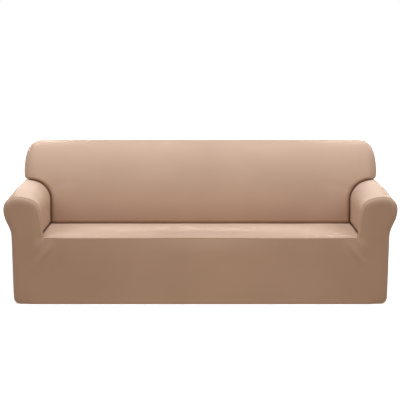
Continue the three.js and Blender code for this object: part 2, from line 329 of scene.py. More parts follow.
@dataclass(frozen=True)
class ArmShape:
    """The right arm: one outline from the seat over the roll to the hem, carried front to back."""

    front: float
    rear: float
    seat_height: float
    roll_x: float
    crown_height: float
    inner_x: float = 0.930
    shoulder_height: float = 0.530
    crown_x: float = 1.060
    roll_height: float = 0.558
    roll_fall: float = 0.075  # how far the roll's outer side comes straight down
    neck_x: float = 1.093
    neck_height: float = 0.400
    neck_rise: float = 0.060  # how far up the neck runs nearly straight
    neck_slant: float = 0.002
    foot_x: float = 1.087
    foot_corner: float = 0.046
    hem_x: float = 1.021
    edge_radius: float = 0.018
    sink: float = 0.021  # how far the roll comes down towards the facing seam
    sink_length: float = 0.350
    sink_ease: float = 1.2
    sink_from: float = 0.470
    sink_power: float = 2.5
    shoulder_sink: float = 0.15  # how much more of it there is on the outer shoulder
    square: float = 0.022  # how much the facing's inner shoulder is filled out
    square_length: float = 0.160
    square_ease: float = 1.5
    square_from: float = 0.430
    flare: float = 0.017  # how far the inner face spreads towards the facing
    flare_length: float = 0.170
    flare_full: float = 0.470
    flare_end: float = 0.560
    toe: float = 0.014  # how much further it spreads over the seat's front corner
    toe_full: float = 0.385
    toe_end: float = 0.455
    crown_from: float = 0.20  # the outline passes over its crown between these lengths
    crown_to: float = 0.40
    crown_to_rim: float = 0.14  # and over its widest place within this length after the crown
    inner_from: float = 0.10  # the inner face is searched from this length on

    @cached_property
    def track(self) -> Track:
        """The outline as x and z, from the seat up over the roll and down to the hem."""
        to_neck = bezier(
            (self.roll_x, self.roll_height),
            (self.roll_x, self.roll_height - self.roll_fall),
            (self.neck_x + self.neck_slant, self.neck_height + self.neck_rise),
            (self.neck_x, self.neck_height),
        )
        foot = (self.foot_x, self.foot_corner), (self.foot_x, 0), (self.foot_x - self.foot_corner, 0)
        inner_radii = (self.crown_x - self.inner_x, self.crown_height - self.shoulder_height)
        outer_radii = (self.roll_x - self.crown_x, self.crown_height - self.roll_height)
        return Track(
            np.array([[self.inner_x, self.seat_height]]),
            ellipse_arc((self.crown_x, self.shoulder_height), inner_radii, 180, 90),
            ellipse_arc((self.crown_x, self.roll_height), outer_radii, 90, 0),
            to_neck,
            bezier(*foot),
            np.array([[self.hem_x, 0.0]]),
        )

    @property
    def seam_y(self) -> float:
        """Where the facing is sewn to the arm."""
        return self.front + self.edge_radius

    @property
    def back_seam_y(self) -> float:
        """Where the outside back is sewn to the arm."""
        return self.rear - self.edge_radius

    def length_at_x(self, x: float, inner: bool) -> float:
        """The length along the outline's upper part at an x, on either side of its crown.

        Args:
            x: the place sought.
            inner: whether it is on the seat's side of the crown.

        Returns:
            The length.
        """
        crown = self.track.where(0, self.crown_x, self.crown_from, self.crown_to)
        rim = self.track.where(0, self.roll_x, crown, crown + self.crown_to_rim)
        low, high = (self.inner_from, crown) if inner else (crown, rim)
        return self.track.where(0, x, low, high)

    def drawn(self, points: Array, y: Array) -> Array:
        """Shapes points of the outline near the facing, where the seam draws the roll in.

        Args:
            points: x and z on the plain outline.
            y: how far back each one is.

        Returns:
            Their x and z on the drawn-in outline.
        """
        x, z = points[..., 0], points[..., 1]
        behind = np.maximum(y - self.front, self.edge_radius)
        outer = ramp(x, self.crown_x, self.roll_x)
        inner = ramp(x, self.crown_x, self.inner_x)
        pull = ramp(behind, self.sink_length, self.edge_radius) ** self.sink_ease
        high = ramp(z, self.sink_from, self.crown_height) ** self.sink_power
        sink = self.sink * (1 + self.shoulder_sink * 4 * outer * (1 - outer)) * pull * high
        spread = ramp(behind, self.flare_length, 0) ** 2 * inner
        low = self.flare * ramp(z, self.flare_end, self.flare_full)
        lowest = self.toe * ramp(z, self.toe_end, self.toe_full)
        near = ramp(behind, self.edge_radius + self.square_length, self.edge_radius) ** self.square_ease
        lift = self.square * near * inner**3 * fade(z, self.square_from, self.shoulder_height)
        return np.stack([x - (low + lowest) * spread, z - sink + lift], -1)

    def surface(self, chart: Array) -> Array:
        """Places on the right arm, from the length along its outline and y."""
        y = chart[..., 1]
        points = self.drawn(self.track.at(chart[..., 0]), y)
        return np.stack([points[..., 0], y, points[..., 1]], -1)

    def inner_edge(self, y: Array) -> Array:
        """The x of the inner face just over the seat."""
        at_seat = np.stack([np.full_like(y, self.inner_x), np.full_like(y, self.seat_height)], -1)
        return self.drawn(at_seat, y)[..., 0]


@dataclass(frozen=True)
class BackShape:
    """The sofa's back: one side profile carried across, with both ends rounded off."""

    foot_y: float
    rear: float
    seat_height: float
    height: float
    half_width: float
    seam_y: float
    crest_y: float = 0.345
    front_low: float = 0.250  # how far the front face stays upright
    front_high: float = 0.160  # how far the crest stays level
    rear_height: float = 0.720
    rear_low: float = 0.100
    rear_high: float = 0.075
    rear_foot: float = 0.200
    spine_y: float = 0.380  # the ends draw in toward this line
    corner_start: float = 1.000
    bulge_height: float = 0.712  # height of an end's widest point
    bulge_read: float = 0.020  # the rounding is measured this far over it
    corner_rise: float = 0.168
    corner_fall: float = 0.156
    corner_foot: float = 0.560
    corner_power: float = 0.8  # 1 is an ellipse, less is squarer
    end_squeeze: float = 0.5

    @cached_property
    def track(self) -> Track:
        """The side profile as y and z, from the seat over the crest and down the rear."""
        front = bezier(
            (self.foot_y, self.seat_height),
            (self.foot_y, self.seat_height + self.front_low),
            (self.crest_y - self.front_high, self.height),
            (self.crest_y, self.height),
            count=4 * CURVE_STEPS,
        )
        rear = bezier(
            (self.crest_y, self.height),
            (self.crest_y + self.rear_high, self.height),
            (self.rear, self.rear_height + self.rear_low),
            (self.rear, self.rear_height),
            count=4 * CURVE_STEPS,
        )
        return Track(front, rear, np.array([[self.rear, self.corner_foot], [self.rear, self.rear_foot]]))

    @cached_property
    def crest(self) -> float:
        """The length along the profile at the crest."""
        return float(self.track.lengths[np.argmax(self.track.points[:, 1])])

    @cached_property
    def bends(self) -> tuple[Array, Array]:
        """Angles around a rounded end, and the length over the cloth at each, from where it starts."""
        angles = np.radians(np.linspace(0, 90, 4 * CURVE_STEPS))
        at_bulge = self.track.where(1, self.bulge_height + self.bulge_read, 0, self.crest)
        return angles, lengths_along(self.place(angles, np.full_like(angles, at_bulge)))

    def bend(self, angle: Array) -> tuple[Array, Array, Array]:
        """How an end is shaped at an angle around it.

        Args:
            angle: 0 where the rounding starts, a right angle at the tip.

        Returns:
            Its share of the reach sideways, its thickness and how far its height is lowered.
        """
        angle = np.clip(angle, 0, math.pi / 2)
        reach = np.cos(angle) ** self.corner_power
        spread = np.sin(angle) ** self.corner_power
        return spread, 1 - self.end_squeeze * (1 - reach), self.corner_rise * (1 - reach)

    def room(self, z: Array) -> Array:
        """How far an end reaches past the start of its rounding, at a height."""
        fall = np.clip((self.bulge_height - z) / self.corner_fall, 0, NEARLY_ONE)
        return (self.half_width - self.corner_start) * np.sqrt(1 - fall**2)

    def place(self, angle: Array, along: Array) -> Array:
        """Places on the rounded right end, from the angle around it and the length along the profile.

        Args:
            angle: angles around the end.
            along: lengths along the profile.

        Returns:
            The places.
        """
        spread, thickness, lowered = self.bend(angle)
        points = self.track.at(along)
        z = points[..., 1] - lowered * ramp(points[..., 1], self.corner_foot, self.height)
        x = self.corner_start + spread * self.room(z)
        return np.stack([x, self.squeezed(points[..., 0], thickness), z], -1)

    def squeezed(self, y: Array, thickness: Array) -> Array:
        """Draws places in toward the spine to a share of the back's thickness."""
        return self.spine_y + (y - self.spine_y) * thickness

    def surface(self, chart: Array) -> Array:
        """Places on the back, from the length across it, from its middle, and along its profile.

        Args:
            chart: the lengths across and along.

        Returns:
            The places in space.
        """
        across, along = chart[..., 0], chart[..., 1]
        places = self.place(self.angle_across(across), along)
        places[..., 0] -= np.maximum(self.corner_start - np.abs(across), 0)
        places[..., 0] *= np.where(across < 0, -1, 1)
        return places

    def angle_across(self, across: Array) -> Array:
        """The angle around the nearer end at a length across the back."""
        angles, lengths = self.bends
        return np.interp(np.maximum(np.abs(across) - self.corner_start, 0), lengths, angles)

    def angle_at(self, x: Array, z: Array) -> Array:
        """The angle around the right end at a place seen from the front."""
        share = np.clip((x - self.corner_start) / self.room(z), 0, 1)
        return np.arcsin(share ** (1 / self.corner_power))

    def raised(self, z: Array, angle: Array) -> Array:
        """The height on the plain profile of a place on a rounded end."""
        slope = self.bend(angle)[2] / (self.height - self.corner_foot)
        return np.where(z > self.corner_foot, (z - slope * self.corner_foot) / (1 - slope), z)

    def along_at(self, height: Array, rear: bool) -> Array:
        """The length along the profile at a height on its front or its rear.

        Args:
            height: heights on the plain profile.
            rear: whether to read the rear.

        Returns:
            The lengths.
        """
        track = self.track
        side = track.lengths >= self.crest if rear else track.lengths <= self.crest
        heights, lengths = track.points[side, 1], track.lengths[side]
        order = np.argsort(heights, kind="stable")
        return np.interp(height, heights[order], lengths[order])

    def y_at(self, height: Array, rear: bool) -> Array:
        """The y of the plain profile at a height on its front or its rear."""
        return self.track.at(self.along_at(height, rear))[..., 0]

    def chart_at(self, places: Array, rear: bool = False) -> Array:
        """Lengths across and along the back of places seen from the front, on its front or rear.

        Args:
            places: rows of x and z.
            rear: whether they are on the rear.

        Returns:
            Places on the chart.
        """
        x, z = places.T
        angle = self.angle_at(x, z)
        across = np.where(x < self.corner_start, x, self.corner_start + np.interp(angle, *self.bends))
        return np.stack([across, self.along_at(self.raised(z, angle), rear)], -1)

    def end_surface(self, chart: Array) -> Array:
        """Places on the right end, from their y and z.

        Args:
            chart: places as y and z.

        Returns:
            The places in space.
        """
        y, z = chart[..., 0], chart[..., 1]

        def inside(angle: Array) -> Array:
            """Tells which places lie inside the end's section at an angle around it."""
            height = self.raised(z, angle)
            flat_y = self.spine_y + (y - self.spine_y) / self.bend(angle)[1]
            within = (flat_y >= self.y_at(height, False)) & (flat_y <= self.y_at(height, True))
            return (height <= self.height) & within

        spread = self.bend(halved(np.zeros_like(y), np.full_like(y, math.pi / 2), inside))[0]
        return np.stack([self.corner_start + spread * self.room(z), y, z], -1)


@dataclass(frozen=True)
class SeatShape:
    """The seat from its front seam over the soft front edge to the foot of the back, slightly crowned."""

    front: float
    foot_y: float
    height: float
    seam_height: float
    seam_inset: float = 0.011  # how far the seat's front leans back at the seam
    seam_forward: float = 0.008  # how much less the seam is set back beside the middle
    forward_from: float = 0.05  # and where, as x: it grows between the first two and ends at the last
    forward_full: float = 0.50
    forward_fall: float = 0.80
    forward_end: float = 0.87
    roll_rise: Pair = (0.002, 0.0025)
    roll_level: float = 0.010  # the front edge turns level this far behind its seam
    roll_end: float = 0.065  # and is level this far behind the front
    crown: float = 0.014
    crown_power: int = 20  # how much nearer the front its highest line lies
    crown_peak: float = 0.818  # its highest value before it is scaled
    crown_half_width: float = 0.92
    crown_squareness: int = 18  # how sharply it ends at the arms
    dip: float = 0.0068  # how far the seat comes down to the back's crease
    dip_length: float = 0.140

    @cached_property
    def track(self) -> Track:
        """The side profile as y and z, from the front seam to the foot of the back."""
        seam_y = self.front + self.seam_inset
        roll = bezier(
            (seam_y, self.seam_height),
            (seam_y + self.roll_rise[0], self.seam_height + self.roll_rise[1]),
            (seam_y + self.roll_level, self.height),
            (self.front + self.roll_end, self.height),
        )
        return Track(roll, np.array([[self.foot_y, self.height]]))

    def inset(self, x: Array) -> Array:
        """How far behind the front the seam lies at each x.

        Args:
            x: the places.

        Returns:
            The distances.
        """
        x = np.abs(x)
        rise = fade(x, self.forward_from, self.forward_full)
        fall = fade(x, self.forward_fall, self.forward_end)
        return self.seam_inset - self.seam_forward * rise * (1 - fall)

    def surface(self, chart: Array) -> Array:
        """Places on the seat, from x and the length along its profile.

        Args:
            chart: places as x and the length.

        Returns:
            The places in space.
        """
        x = chart[..., 0]
        points = self.track.at(chart[..., 1])
        y, z = points[..., 0], points[..., 1]
        seam_y = self.front + self.seam_inset
        forward = (self.seam_inset - self.inset(x)) * ramp(y, self.front + self.roll_end, seam_y)
        ahead = ramp(y, self.foot_y, seam_y)
        deep = ahead * (1 - ahead**self.crown_power) / self.crown_peak
        wide = np.clip(1 - (x / self.crown_half_width) ** self.crown_squareness, 0, 1)
        near = np.maximum(1 - (self.foot_y - y) / self.dip_length, 0)
        return np.stack([x, y - forward, z + self.crown * deep * wide - self.dip * near**2], -1)


# ---------------- edges, folds and panels


@dataclass(frozen=True)
class Roll:
    """How cloth goes over at an edge: a level run, a bend, a tuck, and half of the room beside it."""

    level: float
    radius: float
    tuck: float
    room: float


class EdgeKind(Enum):
    """The kinds of edge that a panel has."""

    CREASE = Roll(level=0.0, radius=0.015, tuck=0.026, room=0.0042)
    SEAM = Roll(level=0.0, radius=0.0030, tuck=0.006, room=0.0008)
    FLAT_SEAM = Roll(level=0.0, radius=0.0012, tuck=0.005, room=0.0004)
    SIDE_HEM = Roll(level=0.020, radius=0.004, tuck=0.006, room=0.0)
    SKIRT_HEM = Roll(level=0.0, radius=0.003, tuck=0.022, room=0.0)


@dataclass(frozen=True)
class Edge:
    """One edge of a panel, in the order in which they go around it.

    Directions, shares and radii are each one for all of its places or one for each.

    Fields:
        chart: its places on the panel's own chart.
        kind: how the cloth goes over there.
        outward: the cloth's outward directions there, or None to read them from the surface.
        tucked: directions in which the tuck goes in, or None for straight in.
        inset: whether the cloth stops short of the edge by what its bend takes up.
        share: how much of the kind's full bend and tuck there is.
        radius: the edge's own radius of bend, or None for the kind's.
    """

    chart: Array
    kind: EdgeKind
    outward: Optional[Triple | Array] = None
    tucked: Optional[Triple | Array] = None
    inset: bool = True
    share: float | Array = 1.0
    radius: Optional[float | Array] = None

    def directions(self, given: Triple | Array) -> Array:
        """A direction for each place."""
        return np.broadcast_to(unit(np.array(given, float)), (len(self.chart), 3))

    def sizes(self) -> Array:
        """For each place the level run, the radius of the bend, the tuck and half of the room beside it."""
        roll = self.kind.value
        full = np.tile([roll.level, roll.radius, roll.tuck, roll.room], (len(self.chart), 1))
        if self.radius is not None:
            full[:, 1] = self.radius
        return np.broadcast_to(self.share, len(full))[:, None] * full

    def mirrored(self) -> "Edge":
        """The same edge on the other side of the middle, in the other order."""
        return replace(
            self,
            chart=mirrored(self.chart),
            outward=None if self.outward is None else mirrored(np.atleast_2d(self.outward)),
            tucked=None if self.tucked is None else mirrored(np.atleast_2d(self.tucked)),
            share=np.atleast_1d(self.share)[::-1],
            radius=None if self.radius is None else np.atleast_1d(self.radius)[::-1],
        )


@dataclass(frozen=True)
class Fold:
    """One soft ridge, or a trough where its height is negative, along a bend on a panel's chart."""

    start: Pair
    bow: Pair
    end: Pair
    width: float
    height: float
    start_share: float = 0.3  # how much of its height it has at its start
    end_share: float = 0.0
    full_from: float = 0.35  # it has all of its height between these shares of its length
    full_to: float = 0.45

    def relief(self, chart: Array) -> Array:
        """How far the fold lifts the cloth at each place on the chart.

        Args:
            chart: the places.

        Returns:
            The heights.
        """
        path = bezier(self.start, self.bow, self.end, count=FOLD_STEPS)
        gap, along = distance_to(chart, path)
        rise = self.start_share + (1 - self.start_share) * fade(along, 0.0, self.full_from)
        fall = self.end_share + (1 - self.end_share) * (1 - fade(along, self.full_to, 1.0))
        return self.height * rise * fall * np.exp(-((gap / self.width) ** 2))


@dataclass(frozen=True)
class Swell:
    """One soft hollow or rise of the cloth over a round patch of a panel's chart."""

    centre: Pair
    radii: Pair
    height: float

    def relief(self, chart: Array) -> Array:
        """How far the swell lifts the cloth at each place on the chart."""
        away = (chart - np.array(self.centre)) / np.array(self.radii)
        return self.height * np.exp(-np.sum(away**2, axis=-1))


class Panel:
    """One sewn panel: a sheet of knit laid over its form, with its edges rolled over and tucked in."""

    node = ""
    flat = (0.0, 0.0, 0.0)  # the flat cut's width, length and area
    hemmed = False  # whether its chart is x and z and a hem runs along its foot
    orientation = 1  # 1 where the chart's two directions turn left as seen from outside
    spacing = 0.012  # between the cloth's points away from its edges
    edge_spacing = 0.008
    ribbons: tuple[float, ...] = (0.004, 0.010)  # rows of points this far inside the edges
    bend_rows = 6
    tuck_rows = 3
    ribbon_gap = 0.85  # points nearer to another row than this share of their spacing
    row_gap = 0.6  # are left out
    grid_gap = 0.62

    def surface(self, chart: Array) -> Array:
        """Places on the plain form, from places on the chart."""
        raise NotImplementedError

    def edges(self) -> list[Edge]:
        """The panel's edges, going left around its chart."""
        raise NotImplementedError

    def relief(self, chart: Array) -> Array:
        """How far the folds lift the cloth off the plain form."""
        return sum((fold.relief(chart) for fold in self.folds()), np.zeros(len(chart)))

    def folds(self) -> list:
        """The panel's folds and swells."""
        return []

    def rows(self) -> list[Array]:
        """Extra rows of points on the chart, where the cloth needs them close together."""
        return hem_rows() if self.hemmed else []

    def normals(self, chart: Array) -> Array:
        """The plain form's outward directions."""
        return square_to(self.surface, chart) * self.orientation

    def shaped(self, chart: Array) -> Array:
        """Places on the cloth, with its folds."""
        return self.surface(chart) + self.normals(chart) * self.relief(chart)[:, None]

    def loop(self) -> tuple[Array, dict[str, Array]]:
        """Joins the edges into one loop around the panel.

        Returns:
            The loop's places on the chart, and for each its outward and tucked-in directions,
            the sizes of its roll, and whether it is inset.
        """
        parts = []
        for edge in self.edges():
            normals = self.normals(edge.chart) if edge.outward is None else edge.directions(edge.outward)
            inward = -normals if edge.tucked is None else edge.directions(edge.tucked)
            inset = np.full((len(normals), 1), float(edge.inset))
            parts.append((edge.chart, normals, inward, edge.sizes(), inset))
        chart, outward, tucked, sizes, inset = (merged_corners(rows) for rows in zip(*parts))
        return chart, {
            "outward": unit(outward),
            "tucked": unit(smoothed_loop(tucked, 2)),
            "sizes": smoothed_loop(sizes, 3),
            "inset": inset[:, 0],
        }

    def build(self, name: str) -> bpy.types.Object:
        """Makes the panel's sheet.

        Args:
            name: the new piece's name.

        Returns:
            The piece, with its thickness and its chart as a UV map.
        """
        corners, rim = self.loop()
        inward = loop_normals(corners)
        ends = self.surface(corners)
        probe = 4 * PROBE
        probed = self.surface(corners + inward * probe)
        stretch = np.linalg.norm(probed - ends, axis=1) / probe
        ahead = unit(np.roll(ends, -1, axis=0) - np.roll(ends, 1, axis=0))
        out = np.cross(ahead, rim["outward"])
        out *= np.sign(np.sum(out * (ends - probed), axis=1, keepdims=True))
        out = unit(smoothed_loop(unit(out), 1))
        turn = np.arccos(np.clip(np.sum(out * rim["tucked"], axis=1), -1, 1))
        room = np.maximum(rim["sizes"][:, 3], SEAM_ROOM)
        taken = rim["sizes"][:, 1] * np.tan(turn / 2) + room / np.maximum(np.sin(turn), LEAST_SINE)
        drawn_in = corners + inward * (taken * rim["inset"] / np.maximum(stretch, LEAST_STRETCH))[:, None]
        corners = kept_in_order(corners, drawn_in)
        chart, triangles = self.filled(corners)
        places = self.shaped(chart)
        rim |= {"inward": inward, "out": out, "turn": turn}
        rings, ring_chart = self.rolled(places[:len(corners)], corners, rim)
        points = np.concatenate([places, rings.reshape(-1, 3)])
        spots = np.concatenate([chart, ring_chart.reshape(-1, 2)])
        return self.piece(name, points, spots, self.faces(triangles, len(places), rings.shape[:2]))

    def rolled(self, start: Array, chart: Array, rim: dict[str, Array]) -> tuple[Array, Array]:
        """Rolls the cloth over at its edge and tucks it in.

        Args:
            start: the places where it starts to go over.
            chart: the same places on the chart.
            rim: for each the loop's directions and sizes, the chart's directions away from the edge,
                the direction in which the cloth runs, and how far it turns, in radians.

        Returns:
            Rows of places after the edge, and the same rows on the chart.
        """
        level, radius, tuck = rim["sizes"].T[:3]
        turn = rim["turn"]
        place, spot = start, chart
        places, spots = [], []
        steps = [(0.0, level)] if level.max() > 0 else []
        for row in range(self.bend_rows):
            steps.append(((row + 0.5) / self.bend_rows, radius * turn / self.bend_rows))
        steps += [(1.0, tuck / self.tuck_rows)] * self.tuck_rows
        for share, length in steps:
            heading = unit(turned(rim["out"], rim["tucked"], turn, share))
            length = np.maximum(length, LEAST_STEP)
            place = place + heading * length[:, None]
            place[:, 2] = np.maximum(place[:, 2], 0)
            spot = spot - rim["inward"] * length[:, None]
            places.append(place)
            spots.append(spot)
        return np.array(places), np.array(spots)

    def filled(self, loop: Array) -> tuple[Array, Array]:
        """Fills a loop on the chart with evenly placed triangles.

        Args:
            loop: the loop's corners.

        Returns:
            Places on the chart, the loop's own ones first, and triangles as rows of three numbers.
        """
        inward = loop_normals(loop)
        kept = [loop]
        rows = [(loop + inward * offset, self.ribbon_gap * offset) for offset in self.ribbons]
        rows += [(row, self.row_gap * self.edge_spacing) for row in self.rows()]
        for row, least in rows:
            gap = distance_to(row, closed(loop))[0]
            kept.append(row[(gap > least) & inside_loop(row, loop)])
        edge_points = np.concatenate(kept)
        low, high = loop.min(axis=0), loop.max(axis=0)
        step = np.array([self.spacing, self.spacing * math.sqrt(0.75)])
        columns, lines = (np.ceil((high - low) / step).astype(int) + 1)
        grid = np.stack(np.meshgrid(np.arange(columns), np.arange(lines)), -1).reshape(-1, 2).astype(float)
        grid[:, 0] += 0.5 * (grid[:, 1] % 2)
        grid = low + grid * step
        tree = KDTree(len(edge_points))
        for index, (u, v) in enumerate(edge_points):
            tree.insert((u, v, 0), index)
        tree.balance()
        apart = np.array([tree.find((u, v, 0))[2] for u, v in grid])
        grid = grid[(apart > self.grid_gap * self.spacing) & inside_loop(grid, loop)]
        points = np.concatenate([edge_points, grid])
        border = [(index, (index + 1) % len(loop)) for index in range(len(loop))]
        result = delaunay_2d_cdt([Vector(point) for point in points.tolist()], border, [], 1, SAME_POINT)
        spots, faces, origins = np.array([tuple(v) for v in result[0]]), result[2], result[3]
        order = {origin: new for new, old in enumerate(origins) for origin in old}
        renamed = np.full(len(spots), -1)
        for index in range(len(loop)):
            renamed[order[index]] = index
        rest = [new for new in range(len(spots)) if renamed[new] < 0]
        renamed[rest] = np.arange(len(loop), len(loop) + len(rest))
        chart = np.concatenate([loop, spots[rest]])
        return chart, renamed[np.array(faces)]

    def faces(self, triangles: Array, first: int, shape: tuple[int, int]) -> list[tuple[int, ...]]:
        """Lists the sheet's faces.

        Args:
            triangles: the flat part's triangles.
            first: how many points come before the rows after the edge.
            shape: how many rows there are and how many points each has.

        Returns:
            The faces, as the numbers of their points.
        """
        rows, around = shape
        here = np.arange(around)
        beyond = (here + 1) % around
        faces = [tuple(face) for face in triangles.tolist()]
        for row in range(rows):
            inner = here if row == 0 else first + (row - 1) * around + here
            outer = first + row * around + here
            quads = np.stack([inner, outer, outer[beyond], inner[beyond]], axis=1)
            faces += [tuple(face) for face in quads.tolist()]
        return [face[::self.orientation] for face in faces]

    @staticmethod
    def piece(name: str, points: Array, chart: Array, faces: list) -> bpy.types.Object:
        """Turns the sheet's points into a finished piece.

        Args:
            name: the piece's name.
            points: the sheet's places.
            chart: the same places on the chart.
            faces: its faces.

        Returns:
            The piece.
        """
        mesh = bpy.data.meshes.new(name)
        mesh.from_pydata(points.tolist(), [], faces)
        layer = mesh.uv_layers.new(name=CLOTH_MAP)
        corner_points = np.zeros(len(mesh.loops), int)
        mesh.loops.foreach_get("vertex_index", corner_points)
        layer.data.foreach_set("uv", chart[corner_points].astype(np.float32).ravel())
        mesh.shade_smooth()
        piece = bpy.data.objects.new(name, mesh)
        bpy.context.scene.collection.objects.link(piece)
        thicken(piece, CLOTH)
        return piece


def closed(loop: Array) -> Array:
    """A loop's corners with the first one again at the end."""
    return np.concatenate([loop, loop[:1]])


def merged_corners(parts: Sequence[Array]) -> Array:
    """Joins rows of neighbouring edges, whose ends meet, into one closed row, halfway at each corner.

    Args:
        parts: for each edge a row of values at its places.

    Returns:
        The values around the loop.
    """
    rows = []
    for index, part in enumerate(parts):
        first = (part[0] + parts[index - 1][-1]) / 2
        rows.append(np.concatenate([[first], part[1:-1]]))
    return np.concatenate(rows)


def smoothed_loop(rows: Array, times: int) -> Array:
    """Evens out the rows of a closed loop, each with its two neighbours, as many times as asked."""
    for _ in range(times):
        rows = (np.roll(rows, 1, axis=0) + 2 * rows + np.roll(rows, -1, axis=0)) / 4
    return rows


def loop_normals(loop: Array) -> Array:
    """Directions into a loop that turns left, made longer at its corners so that offset sides stay even.

    Args:
        loop: its corners.

    Returns:
        A direction for each corner.
    """
    after = unit(np.roll(loop, -1, axis=0) - loop)
    before = np.roll(after, 1, axis=0)
    middle = unit(after + before)
    stretch = 1 / np.maximum(np.sum(middle * before, axis=1, keepdims=True), LEAST_COSINE)
    return np.stack([-middle[:, 1], middle[:, 0]], axis=1) * stretch


def kept_in_order(loop: Array, moved: Array) -> Array:
    """Slides a drawn-in loop's points along beside its corners, so that they keep their order.

    Args:
        loop: the loop before it was drawn in.
        moved: the same points, each drawn in square to its own edge.

    Returns:
        The drawn-in loop, in order.
    """
    sides = np.roll(loop, -1, axis=0) - loop
    steps, after = np.linalg.norm(sides, axis=1), unit(sides)
    before = np.roll(after, 1, axis=0)
    result = moved.copy()
    for corner in np.flatnonzero(np.sum(after * before, axis=1) < CORNER_COSINE):
        pull = moved[corner] - loop[corner]
        for way, tangent in ((1, after[corner]), (-1, -before[corner])):
            slide = float(pull @ tangent)
            index, gone = corner, 0.0
            while slide > 0:
                gone += steps[index] if way > 0 else steps[index - 1]
                index = (index + way) % len(loop)
                if gone >= SLIDE_REACH * slide:
                    break
                result[index] += tangent * slide * (1 - gone / (SLIDE_REACH * slide)) ** 2
    return result


def turned(start: Array, end: Array, turn: Array, share: float) -> Array:
    """Directions a share of the way around from start to end.

    Args:
        start: unit directions to start from.
        end: unit directions to end at.
        turn: the angles between them, in radians.
        share: how far around, from 0 to 1.

    Returns:
        The directions.
    """
    whole = np.maximum(np.sin(turn), 1e-6)[:, None]
    first = np.sin((1 - share) * turn)[:, None] / whole
    second = np.sin(share * turn)[:, None] / whole
    return first * start + second * end


def thicken(piece: bpy.types.Object, thickness: float) -> None:
    """Gives a sheet its thickness, inwards from the side that shows.

    Args:
        piece: the sheet.
        thickness: in metres.
    """
    solidify = piece.modifiers.new("cloth", "SOLIDIFY")
    solidify.thickness = thickness
    solidify.offset = -1
    solidify.use_even_offset = False
    bpy.ops.object.select_all(action="DESELECT")
    piece.select_set(True)
    bpy.context.view_layer.objects.active = piece
    bpy.ops.object.modifier_apply(modifier=solidify.name)


# ---------------- where the panels meet


@dataclass(frozen=True)
class EndSeam:
    """The upright seam at the right end of the back, as x and z seen from the front."""

    foot: float = 0.600
    straight_x: float = 1.064
    straight_height: float = 0.770
    bend_height: float = 0.870
    top_x: float = 1.026
    top_height: float = 0.905
    spacing: float = 0.0005

    @cached_property
    def path(self) -> Array:
        """The seam's places, from its foot up."""
        upright = np.array([[self.straight_x, self.foot], [self.straight_x, self.straight_height]])
        bend = bezier(
            (self.straight_x, self.straight_height),
            (self.straight_x, self.bend_height),
            (self.top_x, self.top_height),
        )
        return evenly(np.concatenate([upright, bend[1:]]), self.spacing)


